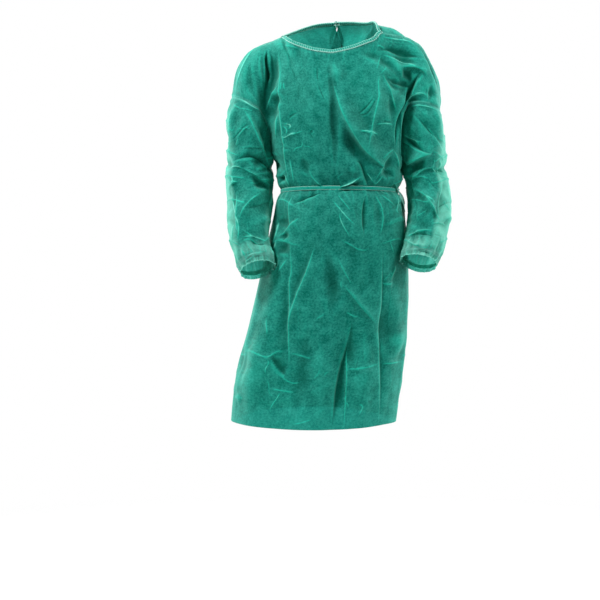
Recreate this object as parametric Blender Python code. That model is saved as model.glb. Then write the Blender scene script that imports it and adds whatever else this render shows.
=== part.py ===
"""Worn protective gown of thin non-woven cloth, hollow, in the pose of a standing figure.

Metres, +Z up, the front faces -Y. The origin is where the wearer's shoulders hold the gown.
Tables are in millimetres. Left and right are the wearer's: the right side is at -X.
Each piece is a closed wall: an outer sheet of points, and the same points moved in by the wall.
"""

import math
from collections import namedtuple

import bmesh
import bpy
import numpy as np

MM = 0.001

# Cloth, seams, binding, tape, knots and cuffs
WALL = 1.2
SEAM_GAP = 0.3
LAP_DROP = 2.6
BINDING_DEPTH = 7.0
BINDING_WALL = 1.0
TAPE_WIDTH = 9.0
TAPE_WALL = 1.0
TAPE_END_OUT = 2.2
TAPE_END_STEPS = 12
TAPE_PINCH = 0.45
PINCH_STEPS = 4
KNOT_SIZE = (8.5, 4.2, 7.0)
KNOT_LUMP = 0.12
CUFF_LENGTH = 18.0
CUFF_GATHER = 1.5
GATHER_START = 0.8
# The cuff's rings: their share of its length, and their size against the sleeve's end.
CUFF_RINGS = ((0.3, 0.96), (0.65, 0.90), (1.0, 0.93))

# Mesh steps
SHOULDER_STEPS = 8
FRONT_NECK_STEPS = 12
BACK_NECK_STEPS = 6
FRONT_STEPS = 2 * SHOULDER_STEPS + FRONT_NECK_STEPS
BACK_STEPS = SHOULDER_STEPS + BACK_NECK_STEPS
ARMHOLE_STEPS = 14
SLEEVE_STEPS = 16
KNOT_COLUMN = FRONT_STEPS - 2
FINE = 96

# Sides and faces of the wearer
RIGHT, LEFT = -1, 1
FRONT, BACK = -1, 1

# The body's sections: its sides as seen from the front, and how far it reaches to front and back.
# The rows above the armholes' lowest points give the chest that the cloth lies on.
Section = namedtuple("Section", "z left right front back")
BODY = [
    Section(-970, -266, 145, 148, 150),
    Section(-943, -264, 149, 148, 150),
    Section(-882, -258, 157, 147, 150),
    Section(-805, -245, 167, 145, 148),
    Section(-748, -228, 173, 142, 146),
    Section(-683, -212, 177, 139, 144),
    Section(-600, -193, 177, 134, 140),
    Section(-530, -177, 174, 130, 134),
    Section(-471, -164, 171, 127, 126),
    Section(-425, -154, 168, 119, 116),
    Section(-404, -149, 163, 113, 109),
    Section(-389, -141, 152, 106, 101),
    Section(-378, -141, 152, 106, 101),
    Section(-364, -148, 160, 111, 105),
    Section(-338, -151, 165, 117, 110),
    Section(-312, -153, 166, 120, 113),
    Section(-288, -160, 167, 122, 116),
    Section(-240, -168, 173, 125, 122),
    Section(-200, -176, 180, 126, 127),
    Section(-150, -186, 191, 118, 128),
    Section(-100, -194, 199, 104, 122),
    Section(-50, -198, 203, 87, 116),
    Section(0, -198, 203, 78, 106),
    Section(80, -198, 203, 70, 86),
]
ROUNDNESS = 2.3

# Heights of the rows from the hem to the waist tape, and shares of the way up to the armholes.
SKIRT_ROWS = (-955, -920, -882, -843, -802, -761, -720, -680, -640, -602, -566, -532,
              -498, -466, -438, -416, -401, -389, -378, -366)
HEM_DIP = {FRONT: -11, BACK: 21}
HEM_DIP_TOP = -640
WAIST_SHARES = (0.33, 0.66, 1.0)
TAPE_ROW = SKIRT_ROWS.index(-389)
TAPE_ROW_HEIGHT = SKIRT_ROWS[TAPE_ROW + 1] - SKIRT_ROWS[TAPE_ROW]

# The sleeves' sections: centre across and in depth, and half the width and depth.
Arm = namedtuple("Arm", "z x y width depth")
ARMS = {
    RIGHT: [
        Arm(0, -186, 0, 60, 58),
        Arm(-60, -197, 0, 56, 61),
        Arm(-150, -213, 0, 50, 63),
        Arm(-220, -219, 2, 56, 64),
        Arm(-288, -214.5, 4, 54.5, 62),
        Arm(-335, -219.5, 4, 59.5, 60),
        Arm(-375, -219, 0, 58.5, 59),
        Arm(-414, -217, -12, 55, 57),
        Arm(-453, -219, -30, 54, 54),
        Arm(-495, -219.5, -55, 48.5, 50),
        Arm(-530, -210, -77, 49, 46),
        Arm(-566, -199, -97, 46.5, 41),
        Arm(-610, -194, -112, 44, 38),
    ],
    LEFT: [
        Arm(0, 190, 0, 58, 58),
        Arm(-60, 198, 0, 54, 61),
        Arm(-120, 206, 0, 51, 63),
        Arm(-185, 208, 0, 50, 63),
        Arm(-245, 210, 2, 59, 63),
        Arm(-290, 213, 4, 59, 62),
        Arm(-338, 219, 4, 54, 60),
        Arm(-375, 227, 0, 53.5, 58),
        Arm(-410, 228.5, -12, 53.5, 56),
        Arm(-464, 225, -36, 52, 53),
        Arm(-498, 217.5, -57, 50, 49),
        Arm(-532, 207, -78, 52, 45),
        Arm(-563, 196, -95, 48.5, 41),
        Arm(-600, 191, -107, 45, 38),
    ],
}

# Where the armhole runs on the sleeve's tube: 0 degrees is the outer side, 180 the inner side.
Seam = namedtuple("Seam", "angle z")
ARMHOLES = {
    RIGHT: [Seam(0, -150), Seam(35, -153), Seam(66, -162), Seam(96, -174), Seam(127, -192),
            Seam(147, -226), Seam(160, -262), Seam(170, -282), Seam(180, -288)],
    LEFT: [Seam(0, -185), Seam(35, -181), Seam(66, -174), Seam(96, -170), Seam(127, -174),
           Seam(145, -194), Seam(156, -236), Seam(165, -292), Seam(173, -328), Seam(180, -338)],
}

# The sleeve's lower end, at its front, outer, back and inner side.
CuffEnd = namedtuple("CuffEnd", "front outer back inner")
CUFF_ENDS = {RIGHT: CuffEnd(-546, -578, -588, -556), LEFT: CuffEnd(-532, -562, -572, -541)}

# The top line of the shoulders and neck base, seen from the front.
Crest = namedtuple("Crest", "x z")
CREST = [
    Crest(-262, -150), Crest(-260, -124), Crest(-255, -92), Crest(-245, -66), Crest(-231, -46),
    Crest(-210, -29), Crest(-186, -16), Crest(-160, -7), Crest(-134, 3), Crest(-100, 34),
    Crest(-60, 62), Crest(0, 78), Crest(40, 66), Crest(65, 52), Crest(92, 37), Crest(115, 28),
    Crest(150, 15), Crest(184, 0), Crest(215, -28), Crest(238, -70), Crest(250, -102),
    Crest(257, -135), Crest(262, -170),
]
CREST_ROUND = 55
UNDERARM_BLEND = 30

# Shoulder seams, from the neck to the armhole, with the point of the crest that lies above.
Shoulder = namedtuple("Shoulder", "x z crest_x crest_z")
SHOULDERS = {
    RIGHT: [Shoulder(-140, 1, -140, 1), Shoulder(-160, -7, -160, -7),
            Shoulder(-186, -16, -186, -16), Shoulder(-210, -29, -210, -29),
            Shoulder(-231, -46, -231, -46), Shoulder(-245, -66, -245, -66),
            Shoulder(-255, -92, -255, -92), Shoulder(-260, -124, -260, -124),
            Shoulder(-263, -150, -263, -150)],
    LEFT: [Shoulder(108, 1, 113, 29), Shoulder(134, -4, 137, 20), Shoulder(180, -9, 180, 2),
           Shoulder(208, -31, 214, -27), Shoulder(229, -70, 238, -70),
           Shoulder(249, -119, 255, -124), Shoulder(256, -158, 260, -160),
           Shoulder(258, -185, 258, -185)],
}

# The neck's edge, in front from the right to the left shoulder, and behind from each shoulder
# to the opening. Its depth is the form's. On the left it starts in front of the crest.
FrontNeck = namedtuple("FrontNeck", "x z")
FRONT_NECK = [FrontNeck(-140, 1), FrontNeck(-122, -19), FrontNeck(-101, -32), FrontNeck(-60, -46),
              FrontNeck(-19, -52), FrontNeck(18, -46), FrontNeck(57, -33), FrontNeck(90, -18),
              FrontNeck(108, 1)]
BackNeck = namedtuple("BackNeck", "x z face")
BACK_NECK = {
    LEFT: [BackNeck(103, 13, FRONT), BackNeck(97, 26, FRONT), BackNeck(93, 35, FRONT),
           BackNeck(86, 39, BACK), BackNeck(67, 44, BACK), BackNeck(40, 50, BACK),
           BackNeck(8, 52, BACK)],
    RIGHT: [BackNeck(-133, 5, BACK), BackNeck(-119, 13, BACK), BackNeck(-97, 27, BACK),
            BackNeck(-66, 41, BACK), BackNeck(-34, 49, BACK), BackNeck(-4, 52, BACK)],
}
NECK_ENDS = (((9, 38), (15, 20), (17, 0), (16, -18)), ((-5, 39), (-11, 24), (-13, 6)))
NECK_END_OUT = 3.6
# The back's overlap: how far each half passes the middle, and where the under one is let in.
LAP = 50
LAP_BEND = 2.5
LAP_RUN = 60
LAP_RAMP = 42
TAPE_CLEAR = 12

PathPoint = namedtuple("PathPoint", "at x y z")

# The largest folds, drawn on the front or the back as seen from the front. Height is out of the
# cloth, and below zero it is a trough.
Fold = namedtuple("Fold", "face width height path")
FOLDS = [
    Fold(FRONT, 26, 8, ((-4, -165), (15, -210), (44, -262), (78, -303), (126, -343))),
    Fold(FRONT, 28, -5, ((46, -180), (82, -235), (124, -280))),
    Fold(FRONT, 17, -4, ((-30, -73), (-14, -140), (-11, -227), (-11, -301))),
    Fold(FRONT, 20, -9, ((-168, -40), (-173, -110), (-174, -184))),
    Fold(FRONT, 18, -5, ((-172, -190), (-139, -128))),
    Fold(FRONT, 25, -8, ((192, -95), (171, -150), (157, -190))),
    Fold(FRONT, 22, -4, ((116, -42), (205, -64))),
    Fold(FRONT, 19, 6, ((103, -66), (152, -84), (196, -105))),
    Fold(FRONT, 26, -4, ((110, -95), (145, -125), (156, -160))),
    Fold(FRONT, 20, 5, ((98, -110), (90, -180), (71, -270))),
    Fold(FRONT, 24, -5, ((-40, -425), (-62, -523), (-92, -600), (-119, -700))),
    Fold(FRONT, 22, 4, ((-1, -425), (23, -477), (59, -533))),
    Fold(FRONT, 26, 4, ((-4, -560), (32, -636), (82, -715))),
    Fold(FRONT, 18, -5, ((71, -405), (64, -485))),
    Fold(FRONT, 18, -5, ((104, -405), (106, -487))),
    Fold(FRONT, 24, -8, ((-16, -975), (10, -840), (34, -700))),
    Fold(FRONT, 24, 5, ((40, -975), (48, -830))),
    Fold(FRONT, 28, 6, ((-205, -975), (-182, -800), (-152, -600))),
    Fold(FRONT, 28, -5, ((-150, -975), (-138, -800), (-122, -660))),
    Fold(BACK, 24, 6, ((-90, -120), (-105, -210), (-120, -300))),
    Fold(BACK, 24, -5, ((98, -110), (110, -220), (120, -300))),
    Fold(BACK, 25, -7, ((-172, -60), (-176, -184))),
    Fold(BACK, 25, -7, ((182, -80), (168, -190))),
    Fold(BACK, 26, -5, ((-92, -425), (-120, -540), (-150, -700))),
    Fold(BACK, 26, 5, ((96, -425), (104, -520), (110, -640))),
    Fold(BACK, 30, 6, ((-170, -975), (-160, -800), (-140, -640))),
    Fold(BACK, 30, -6, ((66, -975), (84, -820), (90, -680))),
    Fold(FRONT, 17, 6, ((-240, -180), (-200, -245), (-176, -300))),
    Fold(FRONT, 16, -6, ((-240, -322), (-180, -358))),
    Fold(FRONT, 18, 6, ((-186, -382), (-225, -410), (-243, -462))),
    Fold(FRONT, 17, -4, ((-250, -492), (-184, -510))),
    Fold(FRONT, 17, 5, ((176, -310), (222, -290))),
    Fold(FRONT, 16, -6, ((188, -352), (217, -332), (250, -338))),
    Fold(FRONT, 18, 6, ((196, -378), (222, -398), (242, -446))),
    Fold(FRONT, 17, -4, ((188, -500), (240, -468))),
    Fold(BACK, 18, -5, ((-240, -240), (-190, -300))),
    Fold(BACK, 18, 5, ((-250, -370), (-190, -400))),
    Fold(BACK, 18, -5, ((250, -260), (195, -320))),
    Fold(BACK, 18, 5, ((255, -380), (205, -420))),
]


def table_value(table, key, name, value):
    """Reads a table's column between its rows, on a smooth curve through them."""
    keys = np.array([getattr(row, key) for row in table], float)
    values = np.array([getattr(row, name) for row in table], float)
    if keys[0] > keys[-1]:
        keys, values = keys[::-1], values[::-1]
    slopes = np.gradient(values, keys)
    value = np.clip(value, keys[0], keys[-1])
    at = np.clip(np.searchsorted(keys, value) - 1, 0, len(keys) - 2)
    span = keys[at + 1] - keys[at]
    t = (value - keys[at]) / span
    return (
        values[at] * (1 + 2 * t) * (1 - t) ** 2
        + values[at + 1] * t * t * (3 - 2 * t)
        + slopes[at] * span * t * (1 - t) ** 2
        - slopes[at + 1] * span * t * t * (1 - t)
    )


def ease(t):
    t = np.clip(t, 0.0, 1.0)
    return t * t * (3 - 2 * t)


def evenly(path, steps, part=(0.0, 1.0)):
    """Points at even distances along a path, or along a part of it.

    The first three columns are its place. Any more are values that it carries along.
    """
    path = np.asarray(path, float)
    lengths = np.linalg.norm(np.diff(path[:, :3], axis=0), axis=1)
    along = np.concatenate([[0.0], np.cumsum(lengths)])
    marks = np.linspace(part[0], part[1], steps + 1) * along[-1]
    return np.stack([np.interp(marks, along, path[:, axis]) for axis in range(path.shape[1])], 1)


def joined(first, second, blend):
    """The larger of two depths, with a soft valley between them."""
    reach = np.clip((blend - abs(first - second)) / blend, 0, 1)
    return np.maximum(first, second) + reach * reach * blend / 4


def body_depth(x, z, face):
    """How far the chest or the back reaches from the middle plane at a point."""
    left = table_value(BODY, "z", "left", z)
    right = table_value(BODY, "z", "right", z)
    across = np.clip(abs((x - (left + right) / 2) / ((right - left) / 2)), 0, 1)
    reach = table_value(BODY, "z", "front" if face == FRONT else "back", z)
    return reach * np.sqrt(1 - across**ROUNDNESS)


def arm_depth(x, z, side):
    rows = ARMS[side]
    across = (x - table_value(rows, "z", "x", z)) / table_value(rows, "z", "width", z)
    return table_value(rows, "z", "depth", z) * np.sqrt(np.clip(1 - across**2, 0, 1))


def shoulder_depth(x, z, face):
    """The cloth's depth above the armholes: over chest and arms, rounded to the crest."""
    arms = np.maximum(arm_depth(x, z, RIGHT), arm_depth(x, z, LEFT))
    depth = joined(body_depth(x, z, face), arms, UNDERARM_BLEND)
    below = np.clip((table_value(CREST, "x", "z", x) - z) / CREST_ROUND, 0, 1)
    return depth * np.sqrt(1 - (1 - below) ** 2)


def body_row(z_left, z_right, face):
    """Half a section of the body, from its right side to its left, as a fine path."""
    left = table_value(BODY, "z", "left", z_left)
    right = table_value(BODY, "z", "right", z_right)
    across = -np.cos(np.linspace(0, math.pi, 2 * FINE + 1))
    x = (left + right) / 2 + across * (right - left) / 2
    z = z_left + (z_right - z_left) * (across + 1) / 2
    share = np.clip((HEM_DIP_TOP - z_left) / (HEM_DIP_TOP - SKIRT_ROWS[0]), 0, 1)
    z = z + HEM_DIP[face] * share * (1 - across**2)
    reach = table_value(BODY, "z", "front" if face == FRONT else "back", z)
    y = face * reach * np.sqrt(np.clip(1 - abs(across) ** ROUNDNESS, 0, 1))
    return np.stack([x, y, z], 1)


def tube_point(side, angle, z):
    """A point of the sleeve's tube. Angle 0 is the outer side, 90 degrees the front."""
    rows = ARMS[side]
    x = table_value(rows, "z", "x", z) + side * table_value(rows, "z", "width", z) * math.cos(angle)
    y = table_value(rows, "z", "y", z) - table_value(rows, "z", "depth", z) * math.sin(angle)
    return np.array([x, y, z])


def armhole(side, face):
    """Half an armhole, from the underarm up to the shoulder, as angles and points."""
    fine = np.linspace(180, 0, 2 * FINE + 1)
    turns = -face * np.radians(fine)
    heights = [table_value(ARMHOLES[side], "angle", "z", angle) for angle in fine]
    path = np.array([tube_point(side, turn, z) for turn, z in zip(turns, heights)])
    path[0, 1] = path[-1, 1] = 0.0
    rows = np.column_stack([path, turns])
    return evenly(rows, ARMHOLE_STEPS)


def shoulder_seam(side):
    """Points of a shoulder seam, from the armhole to the neck, and of the crest above them."""
    rows = SHOULDERS[side][::-1]
    flat = np.array([(row.x, row.z, row.crest_x, row.crest_z) for row in rows], float)
    flat = evenly(flat, SHOULDER_STEPS)
    seam = np.column_stack([flat[:, 0], np.zeros(len(flat)), flat[:, 1]])
    if side == LEFT:
        seam[:, 1] = -shoulder_depth(flat[:, 0], flat[:, 1], FRONT)
        seam[0, 1] = 0.0
    crest = np.column_stack([flat[:, 2], np.zeros(len(flat)), flat[:, 3]])
    return seam, crest


def front_top(seams):
    """The front's upper edge: right shoulder, neck, left shoulder."""
    neck = evenly([(row.x, row.z) for row in FRONT_NECK], FRONT_NECK_STEPS)
    depth = shoulder_depth(neck[:, 0], neck[:, 1], FRONT)
    neck = np.column_stack([neck[:, 0], -depth, neck[:, 1]])
    return np.concatenate([seams[RIGHT][0], neck[1:-1], seams[LEFT][0][::-1]])


def back_top(seam, side):
    """A back half's upper edge, from the armhole over the shoulder to the opening."""
    rows = [seam[-1]]
    for row in BACK_NECK[side]:
        rows.append((row.x, row.face * shoulder_depth(row.x, row.z, row.face), row.z))
    return np.concatenate([seam, evenly(rows, BACK_NECK_STEPS)[1:]])


def patch(bottom, top, first, last, face, over=None):
    """Columns of points between a bottom and a top edge and two side edges.

    Seen from the front they fill the outline evenly, and their depth is the worn form's.
    A column whose top edge lies over the crest goes up to the crest first, then over it.
    """
    count = len(bottom) - 1
    columns = []
    shares = np.sin(np.linspace(0, math.pi / 2, FINE + 1))
    edge_first, edge_last = evenly(first, FINE), evenly(last, FINE)
    marks = np.linspace(0, 1, FINE + 1)
    for index in range(count + 1):
        u = index / count
        target = top[index] if over is None else over[index]
        ends = (edge_first, edge_last)
        sides = [
            np.stack([np.interp(shares, marks, edge[:, axis]) for axis in range(3)], 1)
            for edge in ends
        ]
        straight = [edge[0] + shares[:, None] * (edge[-1] - edge[0]) for edge in ends]
        run = bottom[index] + shares[:, None] * (target - bottom[index])
        run = run + (1 - u) ** 2 * (sides[0] - straight[0]) + u**2 * (sides[1] - straight[1])
        depth = face * shoulder_depth(run[:, 0], run[:, 2], face)
        depth = depth + (bottom[index][1] - depth[0]) * (1 - shares) ** 3
        depth = depth + (target[1] - depth[-1]) * shares**3
        run[:, 1] = depth
        if over is not None and np.linalg.norm(top[index] - target) > 1:
            share = 1 - np.cos(np.linspace(0, math.pi / 2, FINE // 3 + 1)[1:])
            beyond = target + share[:, None] * (top[index] - target)
            wanted = -shoulder_depth(beyond[:, 0], beyond[:, 2], FRONT)
            wanted = wanted + (top[index][1] - wanted[-1]) * share
            beyond[:, 1] = wanted
            run = np.concatenate([run, beyond])
        columns.append(evenly(run, ARMHOLE_STEPS))
    columns[0] = first
    return np.array(columns)


def row_heights():
    """The height of each row at the body's right and left side, up to the armholes."""
    rows = [(z, z) for z in SKIRT_ROWS]
    ends = (ARMHOLES[RIGHT][-1].z, ARMHOLES[LEFT][-1].z)
    for share in WAIST_SHARES:
        rows.append(tuple(SKIRT_ROWS[-1] + share * (end - SKIRT_ROWS[-1]) for end in ends))
    return rows


def front_panel(holes, seams):
    lower = np.array([evenly(body_row(*z, FRONT), FRONT_STEPS) for z in row_heights()])
    right, left = (holes[side, FRONT][:, :3] for side in (RIGHT, LEFT))
    upper = patch(lower[-1], front_top(seams), right, left, FRONT)
    upper[-1] = left
    return np.concatenate([lower, upper.transpose(1, 0, 2)[1:]])


def back_panel(side, holes, seams):
    """A back half. Its opening edge passes the middle by the lap, and meets it at the neck."""
    lower = []
    for z in row_heights():
        path = body_row(*z, BACK)
        if side == LEFT:
            path = path[::-1]
        length = np.linalg.norm(np.diff(path, axis=0), axis=1).sum()
        lower.append(evenly(path, BACK_STEPS, (0.0, 0.5 + LAP / length)))
    lower = np.array(lower)
    seam, crest = seams[side]
    top = back_top(seam, side)
    over = top.copy()
    if side == LEFT:
        over[: SHOULDER_STEPS + 1] = crest
        neck = over[SHOULDER_STEPS + 1 :]
        turned = neck[:, 1] < 0
        neck[turned, 2] = table_value(CREST, "x", "z", neck[turned, 0])
        neck[turned, 1] = 0.0
    start, end = lower[-1][-1], top[-1]
    shares = np.linspace(0, 1, FINE + 1)[:, None]
    edge = start + shares * (end - start)
    edge[:, :1] = start[0] + shares**LAP_BEND * (end[0] - start[0])
    upper = patch(lower[-1], top, holes[side, BACK][:, :3], edge, BACK, over)
    return np.concatenate([lower, upper.transpose(1, 0, 2)[1:]])


def cuff_height(side, angle):
    """Where the sleeve ends: each side of the wrist has its own height."""
    end = CUFF_ENDS[side]
    across = (end.outer + end.inner) / 2 + (end.outer - end.inner) / 2 * math.cos(angle)
    through = (end.front - end.back) / 2 * math.sin(angle)
    return across + through


def sleeve(side, holes):
    """Rings from the armhole to the wrist, closed: each ring starts at the underarm."""
    front, back = holes[side, FRONT], holes[side, BACK]
    ring = np.concatenate([front, back[::-1][1:-1]])
    turns = ring[:, 3].copy()
    turns[: ARMHOLE_STEPS + 1] = abs(turns[: ARMHOLE_STEPS + 1])
    turns[ARMHOLE_STEPS + 1 :] = -abs(turns[ARMHOLE_STEPS + 1 :])
    even = math.pi - np.arange(len(ring)) * math.pi / ARMHOLE_STEPS
    rings = [ring[:, :3]]
    for step in range(1, SLEEVE_STEPS + 1):
        share = step / SLEEVE_STEPS
        gathered = CUFF_GATHER * ease((share - GATHER_START) / (1 - GATHER_START))
        row = []
        for index, (turn, evened) in enumerate(zip(turns, even)):
            angle = turn + (evened - turn) * ease(1.4 * share)
            z = ring[index, 2] + share * (cuff_height(side, angle) - ring[index, 2])
            point = tube_point(side, angle, z)
            gather = gathered * (1 if index % 2 else -1)
            point[:2] += gather * np.array([side * math.cos(angle), -math.sin(angle)])
            row.append(point)
        rings.append(row)
    return np.array(rings)


def cuff(rings):
    """The gathered casing below a sleeve's last ring, drawn in by its elastic."""
    last, before = rings[-1], rings[-2]
    middle = last.mean(axis=0)
    along = last.mean(axis=0) - before.mean(axis=0)
    along = along / np.linalg.norm(along)
    rows = [last]
    for share, scale in CUFF_RINGS:
        rows.append(middle + (last - middle) * scale + along * CUFF_LENGTH * share)
    return np.array(rows)


def fold_height(point, facing):
    """How far the folds lift or sink a point of the cloth, and only on the face they are on."""
    height = 0.0
    for fold in FOLDS:
        turned = ease(1.6 * facing * fold.face)
        if turned <= 0:
            continue
        path = np.array(fold.path, float)
        lengths = np.linalg.norm(np.diff(path, axis=0), axis=1)
        total, run, near, share = lengths.sum(), 0.0, 1e9, 0.0
        for start, end, length in zip(path[:-1], path[1:], lengths):
            t = np.clip((point[[0, 2]] - start) @ (end - start) / length**2, 0, 1)
            distance = np.linalg.norm(point[[0, 2]] - start - t * (end - start))
            if distance < near:
                near, share = distance, (run + t * length) / total
            run += length
        taper = math.sin(math.pi * (0.08 + 0.84 * share)) ** 0.7
        height += fold.height * turned * taper * math.exp(-((near / fold.width) ** 2))
    return height


def key_of(point):
    return tuple(np.round(point, 2))


def shared_normals(sheets):
    """A normal for each point, from all the pieces that meet there."""
    sums = {}
    for grid, closed in sheets.values():
        rows, columns = grid.shape[:2]
        for i in range(rows - 1):
            for j in range(columns if closed else columns - 1):
                k = (j + 1) % columns
                corners = grid[i, j], grid[i, k], grid[i + 1, k], grid[i + 1, j]
                normal = np.cross(corners[2] - corners[0], corners[3] - corners[1])
                normal = normal / max(np.linalg.norm(normal), 1e-9)
                for corner in corners:
                    key = key_of(corner)
                    sums[key] = sums.get(key, 0) + normal
    normals = {}
    for key, total in sums.items():
        length = np.linalg.norm(total)
        normals[key] = total / length if length > 0.5 else np.array([0.0, 0.0, -1.0])
    return {
        name: np.array([[normals[key_of(point)] for point in row] for row in grid])
        for name, (grid, _) in sheets.items()
    }


def fold_sheets(sheets):
    normals = shared_normals(sheets)
    for name, (grid, _) in sheets.items():
        heights = np.array([
            [fold_height(point, normal[1]) for point, normal in zip(row, row_normals)]
            for row, row_normals in zip(grid, normals[name])
        ])
        grid += normals[name] * heights[..., None]


def outer_edge(z):
    """Where the outer back half's opening edge lies, seen from the front."""
    middle = (table_value(BODY, "z", "left", z) + table_value(BODY, "z", "right", z)) / 2
    low, high = ARMHOLES[LEFT][-1].z, BACK_NECK[LEFT][-1].z
    rise = np.clip((z - low) / (high - low), 0, 1)
    edge = middle - LAP
    return edge + rise**LAP_BEND * (BACK_NECK[LEFT][-1].x - edge)


def drop_under_lap(grid, normals):
    """Moves the right back half in where the left one lies over it."""
    edge = outer_edge(grid[..., 2])
    share = ease((grid[..., 0] - edge + LAP_RUN) / LAP_RAMP)
    grid -= normals * (LAP_DROP * share)[..., None]


def set_back(points, closed):
    """Half the seam's gap taken off along each edge."""
    moved = points.copy()
    pairs = [((0, slice(None)), (1, slice(None))), ((-1, slice(None)), (-2, slice(None)))]
    if not closed:
        pairs += [((slice(None), 0), (slice(None), 1)), ((slice(None), -1), (slice(None), -2))]
    shift = np.zeros_like(points)
    for edge, inside in pairs:
        way = points[inside] - points[edge]
        along = np.gradient(points[edge], axis=0)
        if closed:
            along = np.roll(points[edge], -1, axis=0) - np.roll(points[edge], 1, axis=0)
        along = along / np.linalg.norm(along, axis=-1, keepdims=True)
        way = way - along * (way * along).sum(axis=-1, keepdims=True)
        shift[edge] += way / np.linalg.norm(way, axis=-1, keepdims=True) * SEAM_GAP / 2
    moved += shift
    return moved, shift


def wall_mesh(grid, outer, inner, closed):
    """A closed wall from an outer and an inner grid of points, with a rim between them.

    Each four-sided step is split on its shorter diagonal, the same on both faces of the wall.
    A rim is split by the points' order, so that both pieces of a seam split it alike.
    """
    rows, columns = outer.shape[:2]
    bm = bmesh.new()
    out, into = ([[bm.verts.new(p * MM) for p in row] for row in points] for points in (outer, inner))

    def add_step(i, j, k):
        corners = (i, j), (i, k), (i + 1, k), (i + 1, j)
        spans = [np.linalg.norm(grid[corners[n]] - grid[corners[n + 2]]) for n in (0, 1)]
        turn = 0 if spans[0] <= spans[1] else 1
        corners = corners[turn:] + corners[:turn]
        for three in (corners[:3], (corners[0], corners[2], corners[3])):
            bm.faces.new([out[row][column] for row, column in three])
            bm.faces.new([into[row][column] for row, column in three[::-1]])

    def add_rim(first, second):
        (i, j), (m, n) = first, second
        a, b, c, d = out[i][j], out[m][n], into[m][n], into[i][j]
        if key_of(grid[i, j]) < key_of(grid[m, n]):
            bm.faces.new((a, b, c))
            bm.faces.new((a, c, d))
        else:
            bm.faces.new((a, b, d))
            bm.faces.new((b, c, d))

    for j in range(columns if closed else columns - 1):
        k = (j + 1) % columns
        for i in range(rows - 1):
            add_step(i, j, k)
        add_rim((0, k), (0, j))
        add_rim((rows - 1, j), (rows - 1, k))
    if not closed:
        for i in range(rows - 1):
            add_rim((i, 0), (i + 1, 0))
            add_rim((i + 1, columns - 1), (i, columns - 1))
    bmesh.ops.recalc_face_normals(bm, faces=bm.faces)
    return bm


def material(name, color, roughness):
    made = bpy.data.materials.new(name)
    made.use_nodes = True
    shader = made.node_tree.nodes["Principled BSDF"]
    shader.inputs["Base Color"].default_value = (*color, 1.0)
    shader.inputs["Roughness"].default_value = roughness
    shader.inputs["Metallic"].default_value = 0.0
    made.diffuse_color = (*color, 1.0)
    return made


def add_object(name, bm, finish, collection):
    mesh = bpy.data.meshes.new(name)
    bm.to_mesh(mesh)
    bm.free()
    mesh.shade_smooth()
    mesh.set_sharp_from_angle(angle=math.radians(50))
    mesh.materials.append(finish)
    made = bpy.data.objects.new(name, mesh)
    collection.objects.link(made)
    return made


def band_mesh(rails):
    """A closed bar from one closed profile of points at each step."""
    bm = bmesh.new()
    rings = [[bm.verts.new(point * MM) for point in ring] for ring in rails]
    count = len(rings[0])
    for first, second in zip(rings, rings[1:]):
        for j in range(count):
            k = (j + 1) % count
            bm.faces.new((first[j], first[k], second[k], second[j]))
    bm.faces.new(rings[0][::-1])
    bm.faces.new(rings[-1])
    bmesh.ops.recalc_face_normals(bm, faces=bm.faces)
    return bm


def neck_binding(edge, normals):
    """The folded strip along the neck's edge. It starts where the cloth ends, and stands on it."""
    rails = []
    tangents = np.gradient(edge, axis=0)
    middle = edge.mean(axis=0)
    proud = BINDING_WALL / 2
    for point, normal, tangent in zip(edge, normals, tangents):
        up = np.cross(normal, tangent / np.linalg.norm(tangent))
        up = up / np.linalg.norm(up)
        if up @ (middle - point) < 0:
            up = -up
        profile = (
            (proud, SEAM_GAP), (proud, 0.8 * BINDING_DEPTH), (-WALL / 2, BINDING_DEPTH),
            (-WALL - proud, 0.8 * BINDING_DEPTH), (-WALL - proud, SEAM_GAP),
        )
        rails.append([point + normal * out + up * along for out, along in profile])
    return band_mesh(rails)


def waist_ring(grids, normals):
    """The tape's inner face on the cloth: lower and upper points and the way out of the cloth.

    It starts at the right side seam, goes over the front and round the back to the same seam.
    """
    low = (TAPE_ROW_HEIGHT - TAPE_WIDTH) / 2 / TAPE_ROW_HEIGHT
    stretches = []
    for name in ("front_panel", "back_panel_left", "back_panel_right"):
        first, second = grids[name][TAPE_ROW], grids[name][TAPE_ROW + 1]
        out = normals[name][TAPE_ROW : TAPE_ROW + 2].mean(axis=0)
        out[:, 2] = 0.0
        out = out / np.linalg.norm(out, axis=1, keepdims=True)
        lower = first + low * (second - first) + out * SEAM_GAP
        upper = second + low * (first - second) + out * SEAM_GAP
        stretches.append(np.concatenate([lower, upper, out], axis=1))
    front, back_left, back_right = stretches
    clear = back_right[:, 0] < back_left[-1, 0] - TAPE_CLEAR
    return np.concatenate([front, back_left[1:], back_right[clear]])


def cut_out(ring, start, end):
    """A stretch of the waist ring between two lengths along it, on the same facets."""
    lengths = np.linalg.norm(np.diff(ring[:, :3], axis=0), axis=1)
    along = np.concatenate([[0.0], np.cumsum(lengths)])
    if end < 0:
        end += along[-1]
    marks = [start] + [mark for mark in along if start + 1 < mark < end - 1] + [end]
    return np.stack([np.interp(marks, along, ring[:, axis]) for axis in range(9)], 1)


def waist_tape(ring):
    """A flat tape along a stretch of the waist ring."""
    rails = []
    for row in ring:
        lower, upper, out = row[:3], row[3:6], row[6:]
        rails.append([lower, upper, upper + out * TAPE_WALL, lower + out * TAPE_WALL])
    return band_mesh(rails)


def smooth_path(points, steps):
    """A smooth curve through a few points, read at even distances."""
    rows = [PathPoint(mark, *point) for mark, point in enumerate(points)]
    fine = np.linspace(0, len(points) - 1, FINE)
    path = np.stack([table_value(rows, "at", axis, fine) for axis in "xyz"], 1)
    return evenly(path, steps)


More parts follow.
